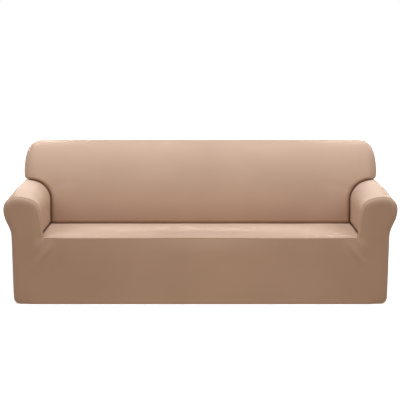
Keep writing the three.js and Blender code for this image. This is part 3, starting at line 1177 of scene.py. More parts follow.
class Joins:
    """The lines along which the right half's panels meet, each read by the panels on both sides."""

    dive = 0.25  # how steeply the creases dive into the arm
    plain_points = 160  # points in each part of a line before they are placed evenly
    bend_points = 200
    level_points = 40
    roll_reach = 0.3  # the arm's widest place is less than this after the back's end starts

    def __init__(self, arm: ArmShape, back: BackShape, seam: EndSeam) -> None:
        """Finds the lines.

        Args:
            arm: the right arm.
            back: the back.
            seam: the seam at the back's right end.
        """
        self.arm, self.back, self.seam = arm, back, seam
        self.seam_along = arm.length_at_x(seam.straight_x, False)
        whole = self.arm_back_line()
        parts = cut_where(whole, whole[:, 0], self.seam_along)
        creases = (evenly(part, JOIN_SPACING, arm.surface(part)) for part in parts)
        self.front_crease, self.end_crease = creases
        self.end_seam = self.end_seam_line()
        tip = self.end_seam[-1, 0]
        across = np.linspace(tip, -tip, int(2 * tip / JOIN_SPACING))
        self.top_seam = np.stack([across, self.along_rear_seam(across)], -1)

    def arm_back_line(self) -> Array:
        """Where the arm meets the back, from the seat around the end to the rear, on the arm's chart.

        Returns:
            The line's places.
        """
        arm, back = self.arm, self.back
        start = arm.length_at_x(back.corner_start, True)
        plain = np.linspace(0, start, self.plain_points)
        front_y = back.y_at(arm.track.at(plain)[:, 1], False)
        angles = np.linspace(0, math.pi / 2, self.bend_points)[1:]
        along = self.along_at_angle(angles, start)
        height = back.raised(arm.track.at(along)[:, 1], angles)
        thickness = back.bend(angles)[1]
        ahead, behind = (back.squeezed(back.y_at(height, rear), thickness) for rear in (False, True))
        level_y = np.linspace(ahead[-1], behind[-1], self.level_points)[1:-1]
        level = np.stack([np.full_like(level_y, along[-1]), level_y], -1)
        returning = np.stack([along, behind], -1)[::-1]
        returning = cut_where(returning, returning[:, 1], back.seam_y)[0]
        before = [np.stack([plain, front_y], -1), np.stack([along, ahead], -1)]
        return np.concatenate([*before, level, returning])

    def along_at_angle(self, angles: Array, start: float) -> Array:
        """Lengths along the arm's outline, from start on, where the back's rounded end has given angles.

        Args:
            angles: the angles around the end.
            start: where the end starts, along the outline.

        Returns:
            The lengths.
        """
        arm, back = self.arm, self.back
        spread = back.bend(angles)[0]

        def reached(along: Array) -> Array:
            """Tells where the outline still runs inside the back's end."""
            points = arm.track.at(along)
            return points[:, 0] < back.corner_start + spread * back.room(points[:, 1])

        widest = arm.track.where(0, arm.roll_x, start, start + self.roll_reach)
        return halved(np.full_like(angles, start), np.full_like(angles, widest), reached)

    def along_rear_seam(self, across: Array) -> Array:
        """Lengths along the back's profile at which its rear meets the outside back.

        Args:
            across: lengths across the back.

        Returns:
            The lengths along it.
        """
        back = self.back
        thickness = back.bend(back.angle_across(across))[1]
        wanted = back.spine_y + (back.seam_y - back.spine_y) / thickness
        behind = back.track.lengths >= back.crest
        return np.interp(wanted, back.track.points[behind, 0], back.track.lengths[behind])

    def end_seam_line(self) -> Array:
        """The end seam on the back's chart, from the arm up over the crest and down to the rear seam.

        Returns:
            The line's places.
        """
        back, path = self.back, self.seam.path
        foot = self.arm.track.at(np.array(self.seam_along))[1]
        path = path[path[:, 1] > foot]
        path = np.concatenate([[[path[0, 0], foot]], path])
        raised = back.raised(path[:, 1], back.angle_at(*path.T))
        path = path[raised < back.height - 1e-6]
        front, rear = back.chart_at(path), back.chart_at(path, rear=True)[::-1]
        rear = cut_where(rear, back.surface(rear)[:, 1], back.seam_y)[0]
        crest = np.array([[front[-1, 0], back.crest]])
        halves = [np.concatenate([front, crest]), np.concatenate([crest, rear])]
        ahead, behind = (evenly(half, JOIN_SPACING) for half in halves)
        return np.concatenate([ahead, behind[1:]])

    def crease_tucks(self, line: Array) -> Array:
        """Directions into the crease between the right arm and the back, nearly level with the arm's cloth.

        Args:
            line: places along the crease on the arm's chart, from the front.

        Returns:
            The directions.
        """
        outline = self.arm.track.normal(line[:, 0])
        arm_out = np.stack([outline[:, 0], np.zeros(len(line)), outline[:, 1]], -1)
        ahead = unit(np.gradient(self.arm.surface(line), axis=0))
        return unit(unit(np.cross(arm_out, ahead)) - self.dive * arm_out)


# ---------------- the panels

BROW_SINE = 0.74  # sine of the facings' slant where they reach their seams
FACING_LINE_INSET = 0.0045  # the line pressed in beside the facings' seam lies this far inside it
FACING_LINE_DEPTH = 0.0019
FACING_LINE_WIDTH = 0.0027
RIM_FROM, RIM_TO = 0.004, 0.030  # folds come up between these distances from a rounded edge
HEM_HEIGHT = 0.032  # the hem's stitch line over the floor
HEM_PROUD = 0.0004  # the hem's second layer stands out this far
HEM_TURN = 0.010  # below this height the hem curls under
HEM_STEP = 0.004  # the second layer ends over this height
HEM_OFFSETS = (-0.009, -0.0045, -0.002, 0.0, 0.002, 0.0045, 0.009)
HEM_REACH = 1.1  # rows of points along the hem go this far to each side
HEM_SPACING = 0.010
STITCH_DEPTH = 0.0003
STITCH_HALF_WIDTH = 0.0022
CREASE_LEAST = 0.15  # what is left of the seat's side creases where they run out in front
CREASE_FROM, CREASE_TO = 0.010, 0.120


def hem_relief(height: Array) -> Array:
    """How far the doubled hem stands out, with the stitch line pressed in over it."""
    doubled = HEM_PROUD * fade(height, 0, HEM_TURN) * (1 - fade(height, HEM_HEIGHT - HEM_STEP, HEM_HEIGHT))
    line = STITCH_DEPTH * np.exp(-(((height - HEM_HEIGHT) / STITCH_HALF_WIDTH) ** 2))
    return doubled - line


def hem_levels() -> list[float]:
    """Heights at which the cloth needs points for the hem's stitch line to show."""
    return [HEM_HEIGHT + offset for offset in HEM_OFFSETS]


def hem_rows() -> list[Array]:
    """Rows along the hem's stitch line, as x and z."""
    return [straight((-HEM_REACH, level), (HEM_REACH, level), HEM_SPACING) for level in hem_levels()]


def crease_share(y: Array, front: float) -> Array:
    """How much of a full crease there is beside the seat, less towards the front where it runs out."""
    return CREASE_LEAST + (1 - CREASE_LEAST) * fade(y, front + CREASE_FROM, front + CREASE_TO)


def softened(radius: float, left: Array) -> Array:
    """The radius of a crease's bend, grown towards the given one by the share that is left of it."""
    slim = EdgeKind.CREASE.value.radius
    return slim + (radius - slim) * left


@dataclass
class SidePanel(Panel):
    """A panel that the cover has on both sides."""

    side: int  # 1 on the right, -1 on the left

    stem = ""

    def __post_init__(self) -> None:
        """Names the node it stands for, and notes which way its chart turns."""
        self.node = self.stem + ("right" if self.side > 0 else "left")
        self.orientation = self.side

    def on_side(self, rows: Array) -> Array:
        """Places or directions on the panel's own side, from those on the right."""
        return rows * np.array([self.side, 1, 1])


@dataclass
class ArmPanel(SidePanel):
    """An arm's inner face, roll and outer face, from the seat's crease to the side hem."""

    arm: ArmShape
    joins: Joins
    foot_bolster: float = 0.034  # how softly the inner face goes over into the creases at its foot
    bolster_fade: Pair = (0.10, 0.26)
    outside_fade: Pair = (0.40, 0.50)
    outside_from: float = 0.60

    stem = "arm_"
    flat = (0.90, 1.17, 0.86)  # its depth, its length over the arm, its area without the back's notch
    spacing = 0.011

    def surface(self, chart: Array) -> Array:
        """Places from the length along the arm's outline and y."""
        return self.on_side(self.arm.surface(chart))

    def edges(self) -> list[Edge]:
        """The facing seam, the side hem, the rear seam, the back's crease and the seat's crease.

        Returns:
            The edges.
        """
        arm, step = self.arm, self.edge_spacing
        end, front, rear = arm.track.length, arm.seam_y, arm.back_seam_y
        crease = np.concatenate([self.joins.front_crease, self.joins.end_crease[1:]])[::-1]
        tucks = self.on_side(self.joins.crease_tucks(crease[::-1])[::-1])
        radius = softened(self.foot_bolster, 1 - fade(crease[:, 0], *self.bolster_fade))
        seat = straight((0, BACK_FOOT_Y), (0, front), step)
        return [
            Edge(straight((0, front), (end, front), step), EdgeKind.SEAM),
            Edge(straight((end, front), (end, rear), step), EdgeKind.SIDE_HEM),
            Edge(straight((end, rear), (crease[0, 0], rear), step), EdgeKind.SEAM),
            Edge(crease, EdgeKind.CREASE, tucked=tucks, radius=radius),
            Edge(seat, EdgeKind.CREASE, tucked=self.on_side(np.array(UNDER_ARM)),
                 share=crease_share(seat[:, 1], front), radius=self.foot_bolster),
        ]

    def relief(self, chart: Array) -> Array:
        """The folds and the hem."""
        height = self.arm.track.at(chart[:, 0])[:, 1]
        return super().relief(chart) + fade(chart[:, 0], *self.outside_fade) * hem_relief(height)

    def rows(self) -> list[Array]:
        """Rows along the hem's stitch line."""
        track, front, rear = self.arm.track, self.arm.seam_y, self.arm.back_seam_y
        places = [track.where(1, level, self.outside_from, track.length) for level in hem_levels()]
        return [straight((place, front), (place, rear), HEM_SPACING) for place in places]

    def folds(self) -> list:
        """Slight pulls where the arm runs under the back, and along the inner face."""
        uneven = 1.0 if self.side > 0 else 0.8
        return [
            Fold((0.17, 0.06), (0.20, -0.03), (0.25, -0.14), 0.018, -0.0016 * uneven, 0.9),
            Fold((0.06, 0.05), (0.10, -0.06), (0.12, -0.20), 0.020, -0.0014, 0.8),
            Fold((0.30, 0.16), (0.31, 0.02), (0.33, -0.12), 0.022, -0.0012 * uneven, 0.7),
            Fold((0.62, 0.30), (0.58, 0.10), (0.50, -0.10), 0.030, 0.0014, 0.2),
            Swell((0.72, 0.05), (0.12, 0.22), -0.003),
        ]


@dataclass
class SeatPanel(Panel):
    """The seat, from its front seam over the soft edge to the creases along the arms and the back."""

    seat: SeatShape
    arm: ArmShape
    side_bolster: float = 0.010  # how softly the seat goes over into its creases beside the arms
    rear_bolster: float = 0.013

    node = "seat_panel"
    flat = (1.86, 0.60, 1.10)
    spacing = 0.014

    def surface(self, chart: Array) -> Array:
        """Places from x and the length along the seat's profile."""
        return self.seat.surface(chart)

    def edges(self) -> list[Edge]:
        """The front seam, and the creases along the right arm, the back and the left arm.

        Returns:
            The edges.
        """
        track, step = self.seat.track, self.edge_spacing
        along = np.linspace(0, track.length, int(track.length / step))
        y = track.at(along)[:, 0]
        line = np.stack([self.arm.inner_edge(y), along], -1)
        right = Edge(line, EdgeKind.CREASE, tucked=UNDER_ARM, share=crease_share(y, self.arm.seam_y),
                     radius=self.side_bolster)
        left = right.mirrored()
        front = straight(left.chart[-1], line[0], step)
        rear = straight(line[-1], left.chart[0], step)
        return [
            Edge(front, EdgeKind.FLAT_SEAM, tucked=UNDER_SEAT),
            right,
            Edge(rear, EdgeKind.CREASE, tucked=UNDER_BACK, radius=self.rear_bolster),
            left,
        ]

    def folds(self) -> list:
        """Soft hollows where the seat is drawn down into its corners."""
        deep = self.seat.track.length
        return [
            Fold((0.90, deep - 0.05), (0.82, deep - 0.10), (0.70, deep - 0.12), 0.022, -0.0022, 0.8),
            Fold((-0.90, deep - 0.05), (-0.80, deep - 0.09), (-0.66, deep - 0.12), 0.024, -0.0020, 0.8),
            Fold((0.88, 0.05), (0.82, 0.12), (0.74, 0.20), 0.020, -0.0016, 0.7),
            Fold((-0.88, 0.05), (-0.82, 0.13), (-0.76, 0.19), 0.018, -0.0016, 0.7),
        ]


@dataclass
class InsideBack(Panel):
    """The front of the back and its top, between the end seams, from the seat's crease to the rear seam."""

    back: BackShape
    joins: Joins
    bolster: float = 0.030  # how softly the back goes over into the arm's crease at its foot
    bolster_fade: Pair = (0.45, 0.95)
    foot_bolster: float = 0.017  # how softly it goes over into the seat's crease
    foot_drop: float = 0.0058  # how far below the seat's own height it meets the seat

    node = "inside_back"
    flat = (2.16, 0.76, 1.48)
    spacing = 0.014

    def surface(self, chart: Array) -> Array:
        """Places from the lengths across the back and along its profile."""
        return self.back.surface(chart)

    def edges(self) -> list[Edge]:
        """The seat's crease, then on each side the arm's crease and the end seam, and the rear seam.

        Returns:
            The edges.
        """
        line = self.joins.front_crease
        chart = self.back.chart_at(self.joins.arm.track.at(line[:, 0]))
        chart[0, 1] = -self.foot_drop
        radius = softened(self.bolster, 1 - fade(np.linspace(0, 1, len(line)), *self.bolster_fade))
        right = Edge(chart, EdgeKind.CREASE, tucked=self.joins.crease_tucks(line), radius=radius)
        seam = Edge(self.joins.end_seam, EdgeKind.FLAT_SEAM)
        left = right.mirrored()
        bottom = straight(left.chart[-1], chart[0], self.edge_spacing)
        return [
            Edge(bottom, EdgeKind.CREASE, tucked=UNDER_BACK, radius=self.foot_bolster),
            right,
            seam,
            Edge(self.joins.top_seam, EdgeKind.FLAT_SEAM),
            seam.mirrored(),
            left,
        ]

    def folds(self) -> list:
        """Slight pulls from the arms, and a full, even front."""
        return [
            Fold((0.96, 0.20), (0.86, 0.24), (0.72, 0.25), 0.022, -0.0016, 0.8),
            Fold((-0.96, 0.20), (-0.87, 0.25), (-0.70, 0.27), 0.024, -0.0014, 0.8),
            Fold((1.02, 0.27), (0.99, 0.33), (0.97, 0.42), 0.018, -0.0012, 0.9),
            Fold((-1.02, 0.27), (-0.98, 0.33), (-0.96, 0.41), 0.018, -0.0014, 0.9),
            Swell((0.0, 0.20), (0.75, 0.16), 0.004),
        ]


@dataclass
class BackEnd(SidePanel):
    """The gusset around one end of the back, between the end seam, the rear seam and the arm."""

    back: BackShape
    joins: Joins

    stem = "back_end_"
    flat = (0.38, 0.26, 0.07)
    spacing = 0.006
    edge_spacing = 0.006
    ribbons = (0.0025, 0.006)

    def surface(self, chart: Array) -> Array:
        """Places from y and z."""
        return self.on_side(self.back.end_surface(chart))

    def edges(self) -> list[Edge]:
        """The arm's crease, the rear seam and the end seam.

        Returns:
            The edges.
        """
        line, lines = self.joins.end_crease, self.joins.end_seam[::-1]
        crease = self.joins.arm.surface(line)[:, 1:]
        crease[-1, 0] = self.back.seam_y
        seam = self.back.surface(lines)[:, 1:]
        seam_out = self.on_side(square_to(self.back.surface, lines))
        return [
            Edge(crease, EdgeKind.CREASE, tucked=self.on_side(self.joins.crease_tucks(line))),
            Edge(straight(crease[-1], seam[0], self.edge_spacing), EdgeKind.FLAT_SEAM),
            Edge(seam, EdgeKind.FLAT_SEAM, outward=seam_out),
        ]


@dataclass
class FrontPanel(Panel):
    """The skirt and both arm facings in one piece, with rounded edges and the front hem."""

    arm: ArmShape
    seat: SeatShape
    brow: float = 0.048  # radius of the facings' rounded edge
    lean_from: float = 0.290  # the skirt leans back toward the seat from this height
    lean_fade: float = 0.070  # and no longer does so this far beside the seat's corner
    corner_reach: float = 0.080  # the seat's front corner lies within this length of its profile
    corner_spacing: float = 0.004
    outline_points: int = 900
    beside_corner: float = 0.001

    node = "front_panel"
    hemmed = True
    flat = (2.28, 0.69, 1.12)
    spacing = 0.013
    ribbons = (0.0005, 0.002, 0.0035, 0.005, 0.0065, 0.0085, 0.012, 0.017)

    @cached_property
    def corner(self) -> Array:
        """The x of the seat's front corner, and the height at which the facing seam starts over it."""
        track, seam_y = self.seat.track, self.arm.seam_y
        height = track.at(np.array(track.where(0, seam_y, 0, self.corner_reach)))[1]
        return np.array([self.arm.inner_edge(np.array([seam_y]))[0], height])

    @cached_property
    def facing(self) -> Array:
        """The right facing's edge as x and z, from the hem up over the roll to the seat's corner."""
        outline = self.arm.track.spread(self.outline_points)[::-1]
        points = self.arm.drawn(outline, np.full(len(outline), self.arm.seam_y))
        x, z = self.corner
        points = points[(points[:, 0] > x + self.beside_corner) | (points[:, 1] > z)]
        return np.concatenate([points, [self.corner]])

    def inside(self, chart: Array) -> Array:
        """How far inside the nearer facing's edge each place is."""
        return distance_to(np.abs(chart), self.facing[::4])[0]

    def surface(self, chart: Array) -> Array:
        """Places from x and z.

        Args:
            chart: places as x and z.

        Returns:
            The places in space.
        """
        x, z = np.abs(chart[:, 0]), chart[:, 1]
        drop = rounded(self.inside(chart), self.brow, BROW_SINE)
        rise = ramp(z, self.lean_from, self.seat.seam_height)
        beside = fade(x, self.corner[0], self.corner[0] + self.lean_fade)
        lean = self.seat.inset(x) * rise**2 * (1 - beside)
        return np.stack([chart[:, 0], self.seat.front + np.maximum(drop, lean), z], -1)

    def edges(self) -> list[Edge]:
        """The hem, the right facing's seam, the seat's seam and the left facing's seam.

        Returns:
            The edges.
        """
        step = self.edge_spacing
        facing = evenly(self.facing, step)
        beside = sideways(facing)
        outward = BROW_SINE * beside + np.array([0.0, -math.sqrt(1 - BROW_SINE**2), 0.0])
        right = Edge(facing, EdgeKind.SEAM, outward, -beside, inset=False)
        lower = self.corner[0], self.seat.seam_height
        beside_seat = straight(self.corner, lower, self.corner_spacing)
        down = Edge(beside_seat, EdgeKind.SEAM, (-1.0, 0.0, 0.0), inset=False)
        hem = straight(facing[0] * np.array([-1, 1]), facing[0], step)
        seam = straight(lower, (-lower[0], lower[1]), step)
        return [
            Edge(hem, EdgeKind.SKIRT_HEM, tucked=(0.0, 1.0, 0.0)),
            right,
            down,
            Edge(seam, EdgeKind.FLAT_SEAM, (0.0, -1.0, 0.0), UNDER_SEAT),
            down.mirrored(),
            right.mirrored(),
        ]

    def relief(self, chart: Array) -> Array:
        """The folds, kept off the rounded edge, the line pressed in beside its seam, and the hem."""
        inside = self.inside(chart)
        pressed = FACING_LINE_DEPTH * np.exp(-(((inside - FACING_LINE_INSET) / FACING_LINE_WIDTH) ** 2))
        return super().relief(chart) * fade(inside, RIM_FROM, RIM_TO) - pressed + hem_relief(chart[:, 1])

    def folds(self) -> list:
        """Soft slanting folds that run from the seat's front corners down and out over the skirt."""
        folds: list = []
        for side, uneven in ((1, 1.0), (-1, 1.15)):
            folds += [
                Fold((side * 0.856, 0.356), (side * 0.900, 0.285), (side * 0.985, 0.210),
                     0.011, 0.0023 * uneven, 0.6, 0.25),
                Fold((side * 0.915, 0.380), (side * 0.955, 0.345), (side * 0.998, 0.298),
                     0.010, 0.0014 * uneven, 0.7, 0.3),
                Fold((side * 0.895, 0.362), (side * 0.935, 0.290), (side * 0.990, 0.240),
                     0.012, -0.0016 * uneven, 0.8, 0.3),
                Fold((side * 0.840, 0.350), (side * 0.875, 0.280), (side * 0.930, 0.205),
                     0.015, -0.0012, 0.6, 0.1),
                Fold((side * 0.990, 0.385), (side * 1.020, 0.360), (side * 1.040, 0.325),
                     0.010, -0.0010, 0.8, 0.3),
                Swell((side * 0.62, 0.17), (0.28, 0.14), -0.0025),
            ]
        folds.append(Swell((0.0, 0.18), (0.42, 0.20), 0.0025))
        return folds


@dataclass
class OutsideBack(Panel):
    """The rear of the cover, from hem to top, with the arms' rear ends."""

    arm: ArmShape
    back: BackShape
    joins: Joins
    blend: float = 0.006  # how softly the arm's end runs into the back's
    fall: float = 3.0  # how steeply the arm's form leaves the cloth outside its outline
    over_seat: float = 0.1  # the arm's form goes this far up beside the seat
    sunk: float = 0.3  # the back's form is out of the way, by this much, under its foot
    sunk_fade: Pair = (0.25, 0.35)
    outline_points: int = 500
    distance_points: int = 300
    edge_points: int = 700
    end_points: int = 20
    end_probe: float = 0.001

    node = "outside_back"
    hemmed = True
    flat = (2.28, 0.86, 1.70)
    orientation = -1
    spacing = 0.015
    ribbons = (0.0005, 0.002, 0.0045, 0.008, 0.013, 0.019)

    def inside(self, chart: Array) -> Array:
        """How far from the nearer arm's outline each place is."""
        return distance_to(np.abs(chart), self.arm.track.spread(self.distance_points))[0]

    @cached_property
    def arm_area(self) -> Array:
        """A loop around the right arm's end and the rear beside it, up to a little over the seat."""
        top = self.arm.seat_height + self.over_seat
        outline = self.arm.track.spread(self.outline_points)
        return np.concatenate([[[0.0, 0.0], [0.0, top], [self.arm.inner_x, top]], outline])

    def arm_end(self, chart: Array) -> Array:
        """The y of the arm's rear end, which goes on under the back.

        Args:
            chart: places as x and z.

        Returns:
            Their y.
        """
        gap, radius = self.inside(chart), self.arm.edge_radius
        right = np.stack([np.abs(chart[:, 0]), chart[:, 1]], -1)
        signed = np.where(inside_loop(right, self.arm_area), gap, -gap)
        drop = np.where(signed > 0, rounded(gap, radius), radius + self.fall * gap)
        wall = EdgeKind.SEAM.value.radius + EdgeKind.SEAM.value.room
        return self.arm.rear - np.where(signed > -2 * PROBE, np.minimum(drop, radius - wall), drop)

    def back_end(self, chart: Array) -> Array:
        """The y of the back's rear, which stops over the arms' feet.

        Args:
            chart: places as x and z.

        Returns:
            Their y.
        """
        back, x, z = self.back, np.abs(chart[:, 0]), chart[:, 1]
        angle = back.angle_at(x, z)
        height = np.minimum(back.raised(z, angle), back.height)
        y = back.squeezed(back.y_at(height, True), back.bend(angle)[1])
        return y - self.sunk * (1 - fade(z, *self.sunk_fade))

    def surface(self, chart: Array) -> Array:
        """Places from x and z.

        Args:
            chart: places as x and z.

        Returns:
            The places in space.
        """
        arm_y, back_y = self.arm_end(chart), self.back_end(chart)
        mixed = np.clip(0.5 + (arm_y - back_y) / (2 * self.blend), 0, 1)
        y = arm_y * mixed + back_y * (1 - mixed) + self.blend * mixed * (1 - mixed)
        return np.stack([chart[:, 0], y, chart[:, 1]], -1)

    def edges(self) -> list[Edge]:
        """The hem, the right arm's seam and end seam, the top seam, and the left side's two.

        Returns:
            The edges.
        """
        step, across = self.edge_spacing, self.joins.top_seam
        outline = self.arm.track.spread(self.edge_points, self.joins.end_crease[-1, 0])[::-1]
        right = evenly(outline, step)
        top = self.back.surface(across)[:, [0, 2]]
        tip = self.back.surface(self.joins.end_seam[-1])[[0, 2]]
        heights = np.linspace(right[-1, 1], tip[1], self.end_points)
        places = np.stack([np.full_like(heights, self.back.seam_y), heights], -1)
        end = self.back.end_surface(places)[:, [0, 2]]
        end[0], end[-1] = right[-1], tip
        arm_seam = Edge(right, EdgeKind.SEAM, sideways(right), inset=False)
        end_seam = Edge(end, EdgeKind.FLAT_SEAM, self.end_normals(places))
        hem = straight(right[0] * np.array([-1, 1]), right[0], step)
        return [
            Edge(hem, EdgeKind.SKIRT_HEM, tucked=(0.0, -1.0, 0.0)),
            arm_seam,
            end_seam,
            Edge(top, EdgeKind.FLAT_SEAM, square_to(self.back.surface, across)),
            end_seam.mirrored(),
            arm_seam.mirrored(),
        ]

    def end_normals(self, places: Array) -> Array:
        """The cloth's outward directions where the end gusset is sewn to the rear.

        Args:
            places: places along the seam, as y and z.

        Returns:
            The directions.
        """
        before = places - np.array([self.end_probe, 0])
        here = self.back.end_surface(before)
        back = self.back.end_surface(places)
        above = self.back.end_surface(before + np.array([0, self.end_probe]))
        return unit(np.cross(back - here, above - here))

    def relief(self, chart: Array) -> Array:
        """The folds, kept off the rounded edge, and the hem."""
        return super().relief(chart) * fade(self.inside(chart), RIM_FROM, RIM_TO) + hem_relief(chart[:, 1])

    def folds(self) -> list:
        """Long soft pulls from the arms' rear ends, and a slightly hollow middle."""
        folds: list = []
        for side, uneven in ((1, 1.0), (-1, 0.8)):
            folds += [
                Fold((side * 1.03, 0.56), (side * 0.92, 0.54), (side * 0.76, 0.47),
                     0.030, -0.0025 * uneven, 0.6),
                Fold((side * 1.02, 0.50), (side * 0.95, 0.40), (side * 0.84, 0.30), 0.028, 0.0022, 0.5),
            ]
        folds.append(Swell((0.05, 0.42), (0.60, 0.22), -0.005))
        return folds


# ---------------- the finish


def linear(colour: str) -> tuple[float, float, float, float]:
    """Turns an sRGB hex colour into linear values with full alpha."""
    parts = [int(colour[start:start + 2], 16) / 255 for start in (1, 3, 5)]
    parts = [part / 12.92 if part <= 0.04045 else ((part + 0.055) / 1.055) ** 2.4 for part in parts]
    return (parts[0], parts[1], parts[2], 1.0)


def add_node(tree: bpy.types.NodeTree, kind: str, settings: dict) -> bpy.types.Node:
    """Adds a node.

    Args:
        tree: the material's nodes.
        kind: the node's type name, without what they all start with.
        settings: values by attribute, or by input name or number: there a socket feeds the input.

    Returns:
        The node.
    """
    node = tree.nodes.new("ShaderNode" + kind)
    for name, value in settings.items():
        if isinstance(value, bpy.types.NodeSocket):
            tree.links.new(value, node.inputs[name])
        elif isinstance(name, str) and hasattr(node, name):
            setattr(node, name, value)
        else:
            node.inputs[name].default_value = value
    return node


def new_material(name: str) -> tuple[bpy.types.Material, bpy.types.NodeTree]:
    """Makes a material, and gives it and its nodes."""
    material = bpy.data.materials.new(name)
    material.use_nodes = True
    return material, material.node_tree


@dataclass(frozen=True)
class StretchKnit:
    """A polyester and elastane knit, circular-knitted with fine cross ribs, brushed and stretched tight.

    To the eye it is matt, with a faint soft bloom at grazing angles, and even in colour, with thin
    level ribs. The hollows between the ribs are painted a little darker, as painted shade.
    """

    name: str = "ribbed_stretch_knit"
    colour: str = "#BA9880"
    # painted shade: the colour of the rib hollows, a little darker than the crests
    painted_rib_shade: str = "#B7957D"
    rib: float = 0.0118  # real ribs are about 3 mm apart, drawn wider so that they show
    wale: float = 0.0042  # real loops are about 1 mm apart, drawn wider so that they show
    rib_height: float = 0.00012
    wale_height: float = 0.00018
    valley_roughness: float = 0.93
    crest_roughness: float = 0.85
    specular: float = 0.15
    sheen: float = 0.02
    sheen_roughness: float = 0.5
    sheen_tint: str = "#F3DCC9"
    patch_scale: float = 2.2  # patches of slightly uneven colour to the metre
    patch_range: Pair = (0.30, 0.70)
    unevenness: float = 0.05
    fleck_scale: float = 420.0  # flecks of yarn to the metre
    fleck_range: Pair = (0.25, 0.75)
    fleck_strength: float = 0.03

    def material(self) -> bpy.types.Material:
        """Makes the material, with its pattern on the cloth's own map, in metres.

        Returns:
            The material.
        """
        material, tree = new_material(self.name)
        tree.nodes.clear()
        chart = add_node(tree, "UVMap", {"uv_map": CLOTH_MAP})
        parts = add_node(tree, "SeparateXYZ", {0: chart.outputs["UV"]})
        ribs = self.wave(tree, parts.outputs["Y"], self.rib)
        wales = self.wave(tree, parts.outputs["X"], self.wale)
        tone = self.noise(tree, (self.patch_scale, 3.0), self.patch_range, self.unevenness)
        fleck = self.noise(tree, (self.fleck_scale, 2.0), self.fleck_range, self.fleck_strength)
        # painted shade in the rib hollows: the colour goes darker where the ribs' height is lowest
        shade = add_node(tree, "Mix", {
            "data_type": "RGBA", "Factor": ribs, "A": linear(self.painted_rib_shade), "B": linear(self.colour),
        })
        both = self.combined(tree, "MULTIPLY", tone, fleck)
        colour = add_node(tree, "VectorMath", {
            "operation": "SCALE", 0: shade.outputs["Result"], "Scale": both,
        })
        height = self.combined(tree, "MULTIPLY", ribs, self.rib_height)
        loops = self.combined(tree, "MULTIPLY", wales, self.wale_height)
        total = self.combined(tree, "ADD", height, loops)
        bump = add_node(tree, "Bump", {"Strength": 1.0, "Distance": 1.0, "Height": total})
        rough = add_node(tree, "MapRange", {
            "To Min": self.valley_roughness, "To Max": self.crest_roughness, "Value": ribs,
        })
        shader = add_node(tree, "BsdfPrincipled", {
            "IOR": 1.5, "Specular IOR Level": self.specular,
            "Sheen Weight": self.sheen, "Sheen Roughness": self.sheen_roughness,
            "Sheen Tint": linear(self.sheen_tint),
            "Base Color": colour.outputs["Vector"],
            "Roughness": rough.outputs["Result"],
            "Normal": bump.outputs["Normal"],
        })
        add_node(tree, "OutputMaterial", {"Surface": shader.outputs["BSDF"]})
        return material

    @staticmethod
    def combined(tree: bpy.types.NodeTree, operation: str, first: Number, second: Number) -> Number:
        """Adds one step of arithmetic between sockets or numbers, and gives the result's socket."""
        return add_node(tree, "Math", {"operation": operation, 0: first, 1: second}).outputs["Value"]

    @staticmethod
    def noise(tree: bpy.types.NodeTree, grain: Pair, span: Pair, strength: float) -> bpy.types.NodeSocket:
        """Adds a soft unevenness.

        Args:
            tree: the material's nodes.
            grain: the noise's scale and detail.
            span: the noise's own values that count as its lowest and its highest.
            strength: how far the result goes to either side of 1.

        Returns:
            A socket that gives the factor.
        """
        place = add_node(tree, "TexCoord", {}).outputs["Object"]
        noise = add_node(tree, "TexNoise", {"Scale": grain[0], "Detail": grain[1], "Vector": place})
        return add_node(tree, "MapRange", {
            "From Min": span[0], "From Max": span[1], "To Min": 1 - strength, "To Max": 1 + strength,
            "Value": noise.outputs["Fac"],
        }).outputs["Result"]

    @staticmethod
    def wave(tree: bpy.types.NodeTree, along: bpy.types.NodeSocket, period: float) -> bpy.types.NodeSocket:
        """Adds a smooth wave.

        Args:
            tree: the material's nodes.
            along: where on the cloth, in metres.
            period: the wave's length in metres.

        Returns:
            A socket that goes from 0 to 1 and back over each period.
        """
        angle = StretchKnit.combined(tree, "MULTIPLY", along, math.tau / period)
        wave = add_node(tree, "Math", {"operation": "SINE", 0: angle})
        return add_node(tree, "MapRange", {
            "From Min": -1.0, "From Max": 1.0, "Value": wave.outputs["Value"],
        }).outputs["Result"]


# ---------------- the studio


@dataclass(frozen=True)
class Softbox:
    """One square of soft white light that points at a place."""

    name: str
    place: Triple
    aim: Triple
    width: float
    depth: float
    watts: float
    colour: Triple = (0.81, 1.0, 1.17)
    spread: float = 180.0  # degrees

    def build(self) -> None:
        """Adds the light."""
        data = bpy.data.lights.new(self.name, "AREA")
        data.shape = "RECTANGLE"
        data.size, data.size_y = self.width, self.depth
        data.energy = self.watts
        data.color = self.colour
        data.spread = math.radians(self.spread)
        light = bpy.data.objects.new(self.name, data)
        light.location = self.place
        light.visible_camera = False
        direction = Vector(self.aim) - Vector(self.place)
        light.rotation_euler = direction.to_track_quat("-Z", "Y").to_euler()
        bpy.context.scene.collection.objects.link(light)


